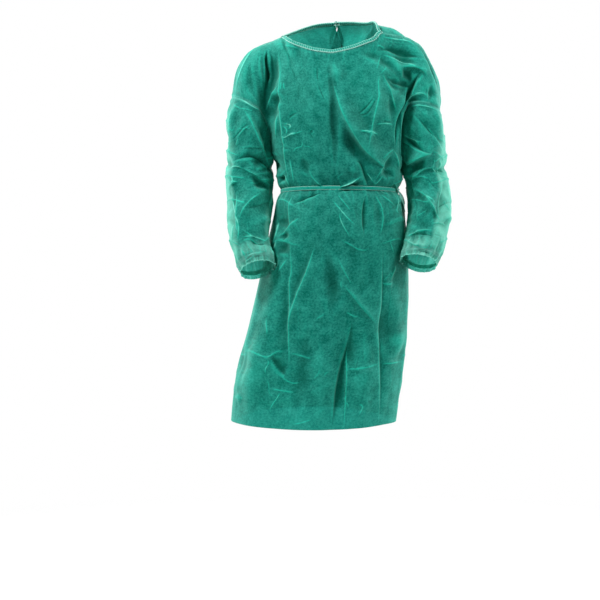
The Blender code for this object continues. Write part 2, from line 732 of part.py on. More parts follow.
def tape_end(path, out):
    """A free tape end along a path, narrow where it leaves its knot."""
    rails = []
    for step, point in enumerate(path):
        ahead = path[min(step + 1, len(path) - 1)] - path[max(step - 1, 0)]
        ahead = ahead / np.linalg.norm(ahead)
        across = np.cross(ahead, out)
        across = across / np.linalg.norm(across)
        width = TAPE_WIDTH / 2 * (1 - TAPE_PINCH * (1 - ease(step / PINCH_STEPS)))
        thick = np.cross(across, ahead) * TAPE_WALL / 2
        rails.append([point + across * width + thick, point - across * width + thick,
                      point - across * width - thick, point + across * width - thick])
    return band_mesh(rails)


def knot(name, seat, out, ends, finish, gown, helpers):
    """A small pulled knot on its seat, with its free tape ends, as one solid."""
    bm = bmesh.new()
    bmesh.ops.create_uvsphere(bm, u_segments=12, v_segments=8, radius=1.0)
    out = out / np.linalg.norm(out)
    centre = seat + out * (KNOT_SIZE[1] + SEAM_GAP)
    side = np.cross(out, (0, 0, 1))
    side = side / np.linalg.norm(side)
    rise = np.cross(side, out)
    for vert in bm.verts:
        x, y, z = vert.co
        lump = 1 + KNOT_LUMP * math.sin(3 * math.atan2(z, x) + 0.6)
        place = side * x * KNOT_SIZE[0] * lump + out * y * KNOT_SIZE[1]
        vert.co = (centre + place + rise * z * KNOT_SIZE[2] * lump) * MM
    body = add_object(name, bm, finish, gown)
    for index, end in enumerate(ends):
        path = smooth_path(np.array([centre, *end]), TAPE_END_STEPS)
        strand = add_object(f"{name}_end_{index + 1}", tape_end(path, out), finish, helpers)
        strand.hide_render = True
        strand.display_type = "WIRE"
        union = body.modifiers.new(f"end_{index + 1}", "BOOLEAN")
        union.operation = "UNION"
        union.object = strand
    return body


def hung_on(grid, normals, column, rows, out):
    """Points over a panel, down one of its columns."""
    return [grid[row, column] + normals[row, column] * out for row in rows]


def make_sheets():
    """Each cloth piece's grid of outer points, and whether its rows close to rings."""
    holes = {(side, face): armhole(side, face) for side in (RIGHT, LEFT) for face in (FRONT, BACK)}
    seams = {side: shoulder_seam(side) for side in (RIGHT, LEFT)}
    for side in (RIGHT, LEFT):
        seams[side][0][0] = seams[side][1][0] = holes[side, FRONT][-1, :3]
    sheets = {
        "front_panel": (front_panel(holes, seams), False),
        "back_panel_right": (back_panel(RIGHT, holes, seams)[:, ::-1].copy(), False),
        "back_panel_left": (back_panel(LEFT, holes, seams), False),
        "sleeve_right": (sleeve(RIGHT, holes), True),
        "sleeve_left": (sleeve(LEFT, holes)[:, ::-1].copy(), True),
    }
    sheets["cuff_right"] = (cuff(sheets["sleeve_right"][0]), True)
    sheets["cuff_left"] = (cuff(sheets["sleeve_left"][0]), True)
    fold_sheets(sheets)
    return sheets


def add_cloth(sheets, normals, finish, gown):
    for name, (grid, closed) in sheets.items():
        outer, shift = set_back(grid, closed)
        inner = grid - normals[name] * WALL + shift
        add_object(name, wall_mesh(grid, outer, inner, closed), finish, gown)


def add_binding(grids, normals, finish, gown):
    """The neck's edge from the right back half's corner round the front to the left one's."""
    neck = slice(SHOULDER_STEPS, FRONT_STEPS - SHOULDER_STEPS + 1)
    order = (
        ("back_panel_right", slice(0, BACK_NECK_STEPS)),
        ("front_panel", neck),
        ("back_panel_left", slice(SHOULDER_STEPS + 1, BACK_STEPS + 1)),
    )
    edge, outs = (
        np.concatenate([source[name][-1, part] for name, part in order])
        for source in (grids, normals)
    )
    add_object("neck_binding", neck_binding(edge, outs), finish, gown)


def add_waist(grids, normals, finish, gown, helpers):
    ring = waist_ring(grids, normals)
    at_knot = np.linalg.norm(np.diff(ring[: KNOT_COLUMN + 1, :3], axis=0), axis=1).sum()
    reach = KNOT_SIZE[0] + SEAM_GAP + 1
    add_object("waist_tie_right", waist_tape(cut_out(ring, 1, at_knot - reach)), finish, gown)
    add_object("waist_tie_left", waist_tape(cut_out(ring, at_knot + reach, -1)), finish, gown)
    grid, normal = grids["front_panel"], normals["front_panel"]
    seat = ring[KNOT_COLUMN, :6].reshape(2, 3).mean(axis=0)
    rows = range(TAPE_ROW - 1, TAPE_ROW - 4, -1)
    ends = [
        hung_on(grid, normal, KNOT_COLUMN, rows, TAPE_END_OUT),
        hung_on(grid, normal, KNOT_COLUMN + 1, rows[:-1], TAPE_END_OUT),
    ]
    knot("waist_knot", seat, ring[KNOT_COLUMN, 6:], ends, finish, gown, helpers)


def add_neck_knot(grids, normals, finish, gown, helpers):
    left, right = "back_panel_left", "back_panel_right"
    corner_left, corner_right = grids[left][-1, -1], grids[right][-1, 0]
    out = normals[left][-1, -1] + normals[right][-1, 0]
    out = out / np.linalg.norm(out)
    seat = (corner_left + corner_right) / 2 + out * (SEAM_GAP + BINDING_WALL / 2)
    ends = [
        [(x, shoulder_depth(x, z, BACK) + NECK_END_OUT, z) for x, z in end] for end in NECK_ENDS
    ]
    knot("neck_knot", seat, out, ends, finish, gown, helpers)


def build():
    for obj in list(bpy.data.objects):
        bpy.data.objects.remove(obj, do_unlink=True)
    gown = bpy.data.collections.new("protective_gown")
    helpers = bpy.data.collections.new("tape_ends")
    bpy.context.scene.collection.children.link(gown)
    bpy.context.scene.collection.children.link(helpers)

    cloth = material("nonwoven_green", (0.03, 0.33, 0.25), 0.75)
    band = material("binding_green", (0.16, 0.55, 0.44), 0.7)
    tape = material("tape_green", (0.10, 0.50, 0.38), 0.7)

    sheets = make_sheets()
    normals = shared_normals(sheets)
    drop_under_lap(sheets["back_panel_right"][0], normals["back_panel_right"])
    grids = {name: grid for name, (grid, _) in sheets.items()}
    add_cloth(sheets, normals, cloth, gown)
    add_binding(grids, normals, band, gown)
    add_neck_knot(grids, normals, band, gown, helpers)
    add_waist(grids, normals, tape, gown, helpers)


build()
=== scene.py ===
"""Looks of the worn protective gown: thin non-woven cloth, creased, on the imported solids' form.

It is an add-on layout run as a script. Tables are in millimetres, meshes in metres, +Z up, and
the front faces -Y. Left and right are the wearer's: the right side is at -X.
"""

import math
from collections import deque, namedtuple
from functools import partial

import bmesh
import bpy
import numpy as np
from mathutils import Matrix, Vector
from mathutils.kdtree import KDTree


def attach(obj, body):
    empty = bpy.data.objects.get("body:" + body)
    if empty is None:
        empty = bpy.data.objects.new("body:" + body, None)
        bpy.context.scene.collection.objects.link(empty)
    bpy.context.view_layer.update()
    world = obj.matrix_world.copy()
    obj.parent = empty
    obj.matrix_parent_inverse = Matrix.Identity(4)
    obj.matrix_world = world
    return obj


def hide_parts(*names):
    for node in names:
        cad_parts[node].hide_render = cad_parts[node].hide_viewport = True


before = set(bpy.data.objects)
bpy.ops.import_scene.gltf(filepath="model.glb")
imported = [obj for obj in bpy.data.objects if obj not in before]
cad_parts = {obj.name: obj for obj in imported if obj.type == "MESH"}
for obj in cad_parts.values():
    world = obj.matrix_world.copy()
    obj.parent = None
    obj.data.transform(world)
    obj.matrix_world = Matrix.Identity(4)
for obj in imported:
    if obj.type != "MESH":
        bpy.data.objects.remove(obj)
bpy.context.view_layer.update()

bl_info = {
    "name": "Protective gown",
    "version": (1, 0, 0),
    "blender": (4, 5, 0),
    "location": "3D View > Sidebar > Gown",
    "description": "Builds the cloth, binding and ties of a worn non-woven gown",
    "category": "Object",
}

MM = 0.001

# How a packed wall is read back to a grid of points.
WELD = 1e-5
SOLID_WALL = 1.2
NEAR_HEM = -930

# How finely each packed step is divided, up the rows and across the columns.
Detail = namedtuple("Detail", "rows columns")
DETAIL = {
    "front_panel": Detail(9, 9),
    "back_panel_right": Detail(9, 11),
    "back_panel_left": Detail(9, 11),
    "sleeve_right": Detail(12, 8),
    "sleeve_left": Detail(12, 8),
    "cuff_right": Detail(6, 8),
    "cuff_left": Detail(6, 8),
}
CLOSED = ("sleeve_right", "sleeve_left", "cuff_right", "cuff_left")
PANELS = ("front_panel", "back_panel_right", "back_panel_left")
SLEEVES = ("sleeve_right", "sleeve_left")
CUFFS = ("cuff_right", "cuff_left")

# Each piece's flat cut: its width and length, and its area in square millimetres.
Cut = namedtuple("Cut", "width length area held")

# The edges of each piece that are sewn down: its first and last column, its first and last row.
Sewn = namedtuple("Sewn", "first last bottom top")
SEWN = {
    "front_panel": Sewn(True, True, False, True),
    "back_panel_right": Sewn(False, True, False, True),
    "back_panel_left": Sewn(True, False, False, True),
    "sleeve_right": Sewn(False, False, True, True),
    "sleeve_left": Sewn(False, False, True, True),
    "cuff_right": Sewn(False, False, False, True),
    "cuff_left": Sewn(False, False, False, True),
}
SEAM_EASE = 11

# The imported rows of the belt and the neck, the column of the belt's knot, and the columns that
# the neck's edge and the belt run over.
BELT_ROW = 17.5
NECK_ROW = 36
BELT_COLUMN = 26
FRONT_WIDE = (0, 28)
BACK_WIDE = (0, 14)
FRONT_NECK = (8, 20)
RIGHT_NECK = (0, 6)
LEFT_NECK = (8, 14)

# Creases, each drawn in a plane and seen straight on: its kind, width and height, then its points.
# The points are x and z for the front and back, y and z for the sides. Height is out of the cloth,
# and below zero it is a trough. A fold is round, a ridge is crisp, a worn one is pale too, from
# wear and from painted glints, a step is steep on one side, and a gap is a deep slit with a
# painted dark shadow. Along a ridge, step or worn one a highlight is painted, or shade if it is a
# trough.
FRONT_CREASES = (
    # Chest and waist
    ("fold", 9.6, -4.7, (-26, -75), (-21, -112), (-14, -173), (-10, -229), (-7, -284), (-10, -339),
     (-14, -375)),
    ("fold", 14.4, 4.5, (-14, -74), (-5, -110), (-1, -144)),
    ("fold", 19.2, -7.2, (7, -230), (26, -266), (48, -293), (73, -318), (101, -340)),
    ("ridge", 3.3, -1.6, (-51, -129), (-43, -151), (-35, -170), (-29, -180)),
    ("ridge", 3.3, -1.4, (-50, -87), (-51, -112), (-47, -134)),
    ("ridge", 3.3, -1.9, (44, -210), (67, -206), (83, -186), (97, -159)),
    ("ridge", 3.3, 2.2, (48, -251), (73, -253), (98, -266)),
    ("ridge", 4.4, 2.7, (129, -297), (107, -336), (89, -369)),
    ("ridge", 3.3, 2.2, (1, -386), (35, -370), (57, -353)),
    ("ridge", 3.3, 2.2, (80, -358), (91, -372), (110, -351)),
    ("ridge", 3.3, 2.4, (-134, -229), (-123, -242), (-127, -257)),
    ("ridge", 3.3, 2.2, (-127, -257), (-110, -254), (-85, -246)),
    ("ridge", 3.3, -1.9, (-122, -216), (-110, -206), (-97, -202)),
    ("ridge", 3.3, -1.8, (-132, -233), (-118, -229), (-111, -237)),
    ("ridge", 3.3, -1.8, (-68, -245), (-61, -253)),
    ("ridge", 4.4, 2.4, (-73, -337), (-54, -367), (-26, -386)),
    ("fold", 10.8, -4.3, (-91, -306), (-79, -337), (-69, -356)),
    ("ridge", 4.4, 2.2, (-119, -305), (-112, -338), (-108, -372)),
    ("step", 9.9, 8.8, (-12, -128), (-6, -156), (8, -200), (32, -249), (60, -289), (93, -321),
     (121, -341), (138, -354)),
    ("fold", 21.6, -6.5, (4, -216), (24, -265), (52, -309), (81, -341)),
    ("step", 6.6, 5.4, (101, -104), (96, -134), (96, -163), (88, -199), (79, -239), (74, -272),
     (70, -292)),
    ("ridge", 3.3, -2.2, (88, -163), (65, -192), (43, -211)),
    ("worn", 3.3, 1.9, (88, -231), (113, -227), (137, -228)),
    ("ridge", 3.3, -2.2, (101, -223), (117, -223), (134, -223)),
    ("worn", 3.3, 1.7, (46, -249), (76, -249), (100, -257)),
    ("ridge", 3.3, -1.9, (68, -251), (85, -257), (99, -268)),
    ("step", 7.7, -7.5, (40, -318), (55, -329), (64, -353), (76, -385)),
    ("fold", 10.8, 3.6, (20, -344), (36, -343), (51, -349)),
    ("worn", 3.3, 2.2, (-8, -387), (24, -373), (61, -354)),
    ("worn", 3.3, 1.7, (70, -348), (81, -363), (86, -371)),
    ("ridge", 4.4, 4.1, (139, -286), (122, -297), (107, -316)),
    ("fold", 10.8, -7.9, (133, -297), (123, -325), (102, -344)),
    ("fold", 10.8, -7.9, (102, -354), (122, -347), (139, -356)),
    ("ridge", 4.4, 4.1, (135, -287), (143, -309), (150, -335)),
    ("step", 5.5, 4.8, (-143, -50), (-141, -133), (-140, -193), (-132, -260), (-128, -312),
     (-116, -383)),
    ("ridge", 3.3, 3, (-16, -394), (9, -382), (33, -372), (60, -357)),
    ("fold", 6, -4.7, (-8, -397), (19, -387), (43, -376), (67, -363)),
    ("worn", 3.3, 2.2, (135, -366), (143, -375), (145, -388)),
    ("worn", 3.3, 2.2, (-131, -225), (-116, -232), (-121, -242)),
    ("worn", 3.3, 2.2, (-139, -244), (-128, -259), (-112, -251), (-95, -253)),
    ("ridge", 3.3, -1.9, (-124, -267), (-132, -280), (-116, -288)),
    ("fold", 8.4, -8.3, (-147, -351), (-136, -356), (-129, -367)),
    ("worn", 4.4, 2.9, (-144, -346), (-131, -350), (-121, -367), (-117, -383)),
    # Right shoulder
    ("fold", 10.8, -9, (-139, -144), (-149, -167), (-157, -192)),
    ("ridge", 3.3, 2.2, (-138, -21), (-124, -33), (-96, -41)),
    ("gap", 3.5, -9.1, (-174, -37), (-176, -57), (-174, -81), (-172, -105), (-176, -131)),
    ("step", 4.4, 3.7, (-181, -34), (-180, -66), (-182, -110), (-181, -146)),
    ("step", 4.4, -3.7, (-171, -33), (-164, -56), (-162, -86), (-164, -118), (-165, -144)),
    ("fold", 7.2, 4.7, (-189, -43), (-192, -81), (-187, -122), (-182, -169)),
    ("fold", 10.8, -5.4, (-152, -47), (-154, -85), (-158, -120), (-169, -161)),
    ("fold", 10.8, -6.1, (-214, -67), (-218, -103), (-211, -138), (-196, -168)),
    ("worn", 3.3, 1.9, (-199, -18), (-225, -64), (-247, -114), (-257, -153)),
    ("worn", 3.3, 2.4, (-250, -157), (-232, -166), (-208, -181), (-183, -191)),
    ("ridge", 3.3, 1.9, (-261, -169), (-241, -184), (-229, -187), (-205, -193)),
    ("step", 6.6, 6.8, (-146, -128), (-160, -156), (-179, -189)),
    ("ridge", 2.9, 1.6, (-137, -121), (-136, -133), (-137, -146)),
    ("ridge", 2.9, 1.6, (-131, -123), (-130, -137), (-128, -145)),
    # Left shoulder
    ("ridge", 4.4, 2.4, (106, -54), (97, -84), (92, -98)),
    ("fold", 12, 9, (175, -111), (168, -144), (154, -178), (142, -209), (136, -245)),
    ("step", 5.5, -6.8, (102, -46), (121, -42), (144, -48), (176, -55), (204, -58)),
    ("worn", 4.4, 3.1, (110, -53), (144, -65), (176, -77), (204, -91)),
    ("fold", 10.8, -7.9, (121, -53), (152, -63), (185, -73), (203, -80)),
    ("ridge", 3.3, 2.4, (94, -33), (110, -37), (117, -44)),
    ("fold", 14.4, -7.9, (53, -54), (82, -60), (114, -72), (142, -96), (159, -125)),
    ("step", 5.5, -5.8, (119, -115), (144, -126), (163, -129), (181, -133)),
    ("fold", 9.6, -7.9, (155, -86), (172, -104), (179, -123)),
    ("step", 6.6, 7.1, (155, -83), (178, -84), (205, -91), (220, -109)),
    ("gap", 4.4, -9.1, (206, -91), (195, -108), (176, -142), (159, -183), (146, -233),
     (140, -282)),
    ("step", 5.5, 5.8, (211, -98), (199, -118), (186, -146), (177, -167)),
    ("step", 8.8, 5.8, (106, -103), (123, -143), (137, -176), (143, -204)),
    ("fold", 14.4, -7.2, (121, -131), (132, -163), (137, -204), (132, -245)),
    ("worn", 4.4, 2.9, (162, -183), (182, -155), (218, -151)),
    ("worn", 4.4, 3.1, (176, -178), (207, -178), (244, -190)),
    ("fold", 10.8, -6.5, (229, -124), (227, -149), (217, -165)),
    ("step", 4.4, -5.1, (167, -10), (197, -23), (218, -50), (236, -92), (248, -127), (254, -154)),
    ("worn", 3.3, 1.9, (104, -8), (142, -14), (175, -18), (198, -33)),
    ("fold", 9.6, -5.4, (107, -108), (124, -126), (142, -137), (162, -137)),
    ("worn", 3.3, 1.9, (186, -151), (203, -147), (219, -154)),
    ("fold", 8.4, -5.4, (165, -168), (186, -165), (209, -168)),
    ("ridge", 3.3, 2.4, (222, -128), (221, -154), (216, -172)),
    # Right sleeve
    ("ridge", 4.4, 4.1, (-155, -196), (-148, -219), (-152, -262)),
    ("step", 6.6, 6.5, (-236, -182), (-217, -211), (-197, -255), (-177, -299), (-161, -332)),
    ("fold", 14.4, -6.8, (-217, -195), (-197, -227), (-177, -267), (-167, -304)),
    ("step", 4.4, 4.1, (-260, -171), (-266, -224), (-264, -281), (-260, -322)),
    ("ridge", 3.3, -1.9, (-263, -263), (-238, -239), (-214, -217)),
    ("ridge", 3.3, 1.6, (-247, -255), (-230, -238), (-214, -226)),
    ("step", 6.6, -7.5, (-259, -312), (-225, -304), (-193, -309), (-173, -324), (-159, -341)),
    ("fold", 12, -8.3, (-223, -312), (-197, -316), (-173, -335)),
    ("step", 7.7, 7.8, (-235, -328), (-213, -344), (-188, -361), (-159, -373)),
    ("fold", 10.8, -9, (-215, -350), (-191, -367), (-165, -384)),
    ("worn", 4.4, 3.4, (-271, -327), (-250, -326), (-231, -332)),
    ("worn", 3.3, 2.6, (-265, -368), (-256, -363), (-244, -365)),
    ("worn", 3.3, 2.6, (-260, -377), (-256, -363), (-261, -345)),
    ("step", 4.4, 3.7, (-188, -390), (-212, -410), (-232, -438), (-240, -466)),
    ("worn", 3.3, 2.2, (-160, -333), (-163, -356), (-159, -377), (-165, -412), (-163, -447)),
    ("worn", 3.3, 2.2, (-163, -447), (-169, -483), (-160, -512), (-156, -530)),
    ("worn", 3.3, 1.9, (-171, -527), (-160, -536), (-152, -559), (-148, -574)),
    ("worn", 4.4, 2.4, (-262, -381), (-256, -413), (-247, -448), (-240, -483), (-246, -519)),
    ("worn", 3.3, 2.2, (-275, -340), (-266, -358), (-257, -369), (-246, -360)),
    ("ridge", 3.3, 1.9, (-269, -377), (-257, -369), (-246, -367)),
    ("ridge", 3.3, 2.2, (-231, -485), (-203, -504), (-173, -515)),
    ("ridge", 3.3, 1.6, (-239, -514), (-209, -510), (-185, -531)),
    ("ridge", 3.3, 2.4, (-223, -575), (-219, -561), (-198, -547), (-170, -534)),
    ("ridge", 3.3, 2.2, (-220, -561), (-226, -545), (-236, -529)),
    ("ridge", 3.3, 1.9, (-257, -462), (-256, -488), (-257, -518)),
    ("step", 5.5, 4.8, (-251, -387), (-244, -429), (-247, -469), (-236, -503)),
    ("worn", 4.4, 2.9, (-236, -503), (-207, -503), (-170, -515)),
    ("ridge", 3.3, -2.4, (-221, -503), (-196, -519), (-167, -519)),
    ("worn", 3.3, 2.4, (-176, -378), (-160, -390), (-164, -430), (-160, -470), (-165, -514)),
    ("fold", 7.2, -5.4, (-231, -566), (-210, -549), (-184, -544), (-165, -556)),
    ("worn", 4.4, 2.9, (-230, -558), (-206, -543), (-173, -539)),
    ("fold", 8.4, -6.1, (-168, -258), (-175, -281), (-176, -305)),
    ("fold", 10.8, -7.2, (-152, -160), (-158, -190), (-157, -230)),
    ("worn", 3.3, 3.1, (-156, -448), (-152, -489), (-161, -525)),
    ("worn", 3.3, 3.1, (-170, -521), (-155, -529), (-150, -504)),
    # Left sleeve
    ("ridge", 4.4, -4.1, (236, -332), (251, -342), (265, -355)),
    ("ridge", 3.3, 2.7, (177, -362), (195, -355), (221, -351)),
    ("step", 6.6, 7.5, (184, -375), (198, -386), (216, -402), (227, -423), (241, -449),
     (246, -467)),
    ("fold", 10.8, -7.2, (265, -361), (255, -390), (244, -426), (238, -455), (235, -484)),
    ("fold", 9.6, 5.4, (272, -364), (274, -407), (270, -454), (262, -498)),
    ("fold", 9.6, -5.4, (175, -367), (174, -410), (172, -456), (173, -492)),
    ("ridge", 5.5, 5.4, (166, -505), (185, -496), (207, -487), (232, -487)),
    ("ridge", 3.3, -2.7, (167, -505), (200, -495), (232, -502)),
    ("fold", 6, -5.4, (177, -525), (199, -533), (221, -547)),
    ("ridge", 4.4, 3.5, (164, -511), (181, -522), (206, -529), (231, -532)),
    ("step", 4.4, -4.4, (185, -196), (203, -216), (227, -241), (245, -260), (265, -297)),
    ("step", 5.5, -6.5, (154, -243), (178, -266), (203, -287), (222, -295), (241, -295)),
    ("ridge", 3.3, -2.4, (150, -255), (167, -270), (195, -283)),
    ("worn", 3.3, 1.9, (157, -239), (182, -259), (211, -269)),
    ("worn", 3.3, 1.7, (162, -249), (186, -261), (203, -278)),
    ("step", 7.7, 9.2, (161, -319), (186, -311), (211, -301), (236, -293)),
    ("fold", 10.8, -10.1, (172, -348), (199, -326), (216, -305)),
    ("step", 5.5, 6.1, (180, -366), (208, -338), (243, -326)),
    ("worn", 4.4, 3.6, (236, -318), (250, -306), (266, -293)),
    ("worn", 4.4, 3.6, (245, -324), (255, -346), (270, -356)),
    ("worn", 3.3, 2.9, (249, -306), (254, -323), (245, -338)),
    ("ridge", 4.4, -3.5, (240, -338), (256, -335), (270, -342)),
    ("fold", 16.8, 4.7, (234, -147), (246, -213), (261, -271)),
    ("ridge", 3.3, 2.7, (212, -224), (233, -244), (251, -272), (265, -295)),
    ("ridge", 3.3, 2.7, (154, -255), (176, -274), (196, -289), (225, -297)),
    ("ridge", 3.3, 3, (154, -324), (175, -320), (195, -311), (217, -302)),
    ("ridge", 3.3, 2.2, (169, -357), (189, -341), (214, -331)),
    ("ridge", 3.3, 2.7, (181, -376), (203, -392), (222, -410), (237, -439), (245, -460)),
    ("worn", 3.3, 1.9, (260, -359), (253, -391), (247, -426), (245, -458)),
    ("worn", 3.3, 1.7, (228, -326), (241, -338), (260, -349)),
    ("worn", 3.3, 1.7, (245, -293), (254, -302), (263, -313)),
    ("ridge", 3.3, 2.2, (165, -502), (190, -494), (216, -488)),
    ("ridge", 3.3, 1.9, (165, -510), (187, -525), (216, -533)),
    # Round the belt
    ("step", 5.5, -5.8, (-112, -423), (-88, -411), (-63, -402), (-39, -397)),
    ("step", 4.4, -4.4, (68, -398), (61, -428), (60, -469), (63, -503)),
    ("step", 4.4, 4.4, (87, -397), (102, -425), (107, -459), (101, -498)),
    ("worn", 3.3, 2.2, (143, -392), (148, -419), (144, -435), (153, -446)),
    ("ridge", 3.3, 2.2, (102, -395), (119, -410), (140, -427)),
    ("ridge", 3.3, 1.9, (-3, -398), (9, -416), (34, -447)),
    ("worn", 3.3, 1.7, (1, -442), (8, -470), (28, -504)),
    ("worn", 3.3, 1.6, (-16, -412), (23, -460), (42, -475)),
    ("fold", 21.6, -9, (-131, -400), (-136, -453), (-139, -521)),
    ("step", 5.5, 5.1, (-112, -399), (-120, -450), (-116, -491)),
    ("step", 6.6, 6.1, (-93, -454), (-120, -479), (-149, -499)),
    # Skirt
    ("step", 5.5, 5.1, (-117, -513), (-115, -548), (-113, -589), (-117, -614), (-116, -668),
     (-118, -715), (-119, -763), (-121, -826)),
    ("step", 5.5, -4.1, (107, -516), (107, -573), (108, -636), (106, -687), (103, -731),
     (103, -795), (103, -858), (102, -921), (102, -969)),
    ("step", 8.8, 7.8, (-56, -520), (-65, -552), (-76, -592), (-92, -630), (-103, -662),
     (-113, -693), (-122, -725), (-131, -743)),
    ("ridge", 5.5, 2.7, (-122, -554), (-135, -573), (-148, -593)),
    ("ridge", 3.3, 2.2, (-1, -555), (13, -586), (33, -621)),
    ("step", 5.5, 5.4, (10, -617), (29, -640), (48, -665), (73, -694), (93, -713)),
    ("ridge", 3.3, 2.2, (16, -682), (38, -694), (49, -691)),
    ("step", 7.7, -8.5, (33, -697), (29, -731), (19, -778), (10, -809), (0, -850), (-6, -887),
     (-12, -934), (-17, -966)),
    ("ridge", 5.5, 5.4, (32, -712), (26, -749), (19, -793), (19, -825), (18, -872), (15, -919),
     (12, -970)),
    ("ridge", 4.4, 2.4, (-230, -781), (-211, -779), (-186, -789), (-167, -791), (-148, -779),
     (-122, -778)),
    ("ridge", 4.4, 2.2, (-118, -781), (-84, -790), (-59, -798)),
    ("ridge", 4.4, 2.4, (4, -812), (29, -820), (60, -817), (101, -807)),
    ("ridge", 5.5, 3.5, (106, -809), (132, -808), (157, -805)),
    ("step", 6.6, -5.8, (-166, -790), (-154, -804), (-141, -822), (-125, -838)),
    ("fold", 16.8, 7.2, (165, -707), (157, -733), (145, -771), (135, -804)),
    ("ridge", 4.4, 2.7, (106, -614), (122, -617), (136, -612)),
    ("ridge", 3.3, 2.4, (145, -566), (136, -588), (126, -608)),
    ("ridge", 3.3, 1.9, (-175, -696), (-173, -719), (-172, -745)),
    ("fold", 7.2, 4, (-244, -875), (-241, -891), (-242, -911)),
    ("fold", 14.4, -7.2, (-116, -512), (-132, -528), (-148, -545)),
    ("ridge", 4.4, 2.4, (4, -510), (29, -523), (53, -535), (77, -531)),
    ("fold", 21.6, -8.1, (-34, -520), (-21, -574), (-15, -643), (-21, -706)),
    ("fold", 28.8, -9, (-72, -706), (-81, -781), (-97, -856), (-109, -956)),
    ("fold", 31.2, 8.1, (-47, -731), (-43, -825), (-53, -956)),
    ("fold", 26.4, 7.2, (60, -712), (66, -793), (63, -887), (60, -963)),
    ("fold", 24, -7.2, (119, -643), (119, -732), (116, -795)),
    ("fold", 26.4, 9, (-192, -712), (-201, -782), (-211, -858), (-217, -947)),
    ("fold", 19.2, -9, (-228, -751), (-234, -815), (-240, -869)),
    ("ridge", 3.3, 1.8, (-147, -828), (-131, -844), (-109, -854), (-84, -847)),
    ("ridge", 3.3, 1.6, (-169, -866), (-138, -872), (-103, -876)),
    ("fold", 9.6, -7.9, (-146, -504), (-129, -498), (-119, -508)),
    ("worn", 3.3, 3.1, (-153, -537), (-144, -562), (-153, -586)),
)
BACK_CREASES = (
    # Above the belt
    ("step", 5, 3.8, (97, -50), (99, -200), (95, -340)),
    ("step", 5, -3.8, (-146, -70), (-149, -210), (-144, -350)),
    ("fold", 13, -8, (-52, -50), (-84, -150), (-106, -240), (-112, -340)),
    ("fold", 13, -8, (44, -40), (72, -130), (97, -230), (101, -320)),
    ("step", 8, 6.4, (-20, -90), (-26, -190), (-8, -290), (-2, -360)),
    ("step", 6, 5.4, (120, -60), (142, -120), (146, -200), (135, -280)),
    ("step", 6, -5.4, (-110, -46), (-140, -110), (-158, -190), (-150, -270)),
    ("ridge", 4, 1.3, (-150, -146), (-40, -158), (60, -150), (150, -160)),
    ("ridge", 4, 1, (-128, -262), (-30, -252), (70, -262), (128, -254)),
    ("ridge", 3, 2.1, (20, -100), (44, -132), (88, -140)),
    ("ridge", 3, -2.1, (-96, -196), (-58, -214), (-30, -206)),
    ("ridge", 3, 2.3, (36, -282), (60, -318), (98, -336)),
    ("ridge", 3, 2.1, (-40, -300), (-72, -330), (-104, -346)),
    # Below the belt
    ("step", 8, 7.4, (-12, -420), (-32, -520), (-54, -640), (-72, -770)),
    ("step", 8, -7.4, (36, -415), (68, -520), (98, -640), (124, -770)),
    ("fold", 16, 8, (-92, -425), (-132, -540), (-160, -690), (-172, -800)),
    ("fold", 17, -8, (150, -430), (168, -560), (178, -700), (184, -860)),
    ("step", 5, 3.8, (96, -410), (102, -600), (97, -790), (99, -975)),
    ("step", 5, 3.5, (-148, -415), (-151, -600), (-147, -790), (-150, -975)),
    ("step", 7, -8, (-22, -690), (-36, -820), (-42, -985)),
    ("ridge", 5, 5.2, (66, -740), (82, -860), (90, -985)),
    ("fold", 24, 9.6, (20, -560), (26, -740), (22, -985)),
    ("fold", 22, -9.6, (-96, -620), (-104, -800), (-112, -985)),
    ("fold", 20, 9.6, (140, -700), (150, -840), (156, -985)),
    ("ridge", 4, 1.2, (-220, -532), (-70, -522), (60, -532), (210, -524)),
    ("ridge", 4, 1.2, (-240, -790), (-80, -782), (50, -794), (230, -786)),
    ("ridge", 4, 3.4, (-180, -560), (-140, -610), (-96, -640)),
    ("ridge", 4, -3.1, (40, -600), (66, -650), (112, -676)),
)
RIGHT_SIDE_CREASES = (
    # Sleeve and shoulder
    ("step", 6, 2.4, (48, -176), (14, -200), (-30, -214)),
    ("step", 6, -2.4, (50, -236), (8, -250), (-46, -238)),
    ("step", 8, 3.7, (44, -292), (2, -282), (-52, -300)),
    ("fold", 9, -5.6, (38, -322), (-2, -314), (-62, -336)),
    ("ridge", 5, 2.4, (24, -356), (-22, -346), (-76, -364)),
    ("step", 6, 2.1, (-12, -420), (-52, -408), (-96, -432)),
    ("fold", 9, -3.7, (-22, -474), (-62, -462), (-108, -486)),
    ("ridge", 4, 1.9, (-40, -520), (-80, -510), (-118, -528)),
    ("ridge", 4, 2.2, (20, -100), (-6, -150), (0, -220)),
    # Skirt
    ("fold", 15, 3.3, (-58, -425), (-42, -560), (-52, -720), (-46, -985)),
    ("fold", 16, -3.3, (32, -425), (20, -560), (36, -720), (30, -985)),
    ("ridge", 4, 0.7, (-90, -784), (0, -790), (90, -782)),
    ("ridge", 4, 0.7, (-90, -530), (0, -524), (90, -530)),
)
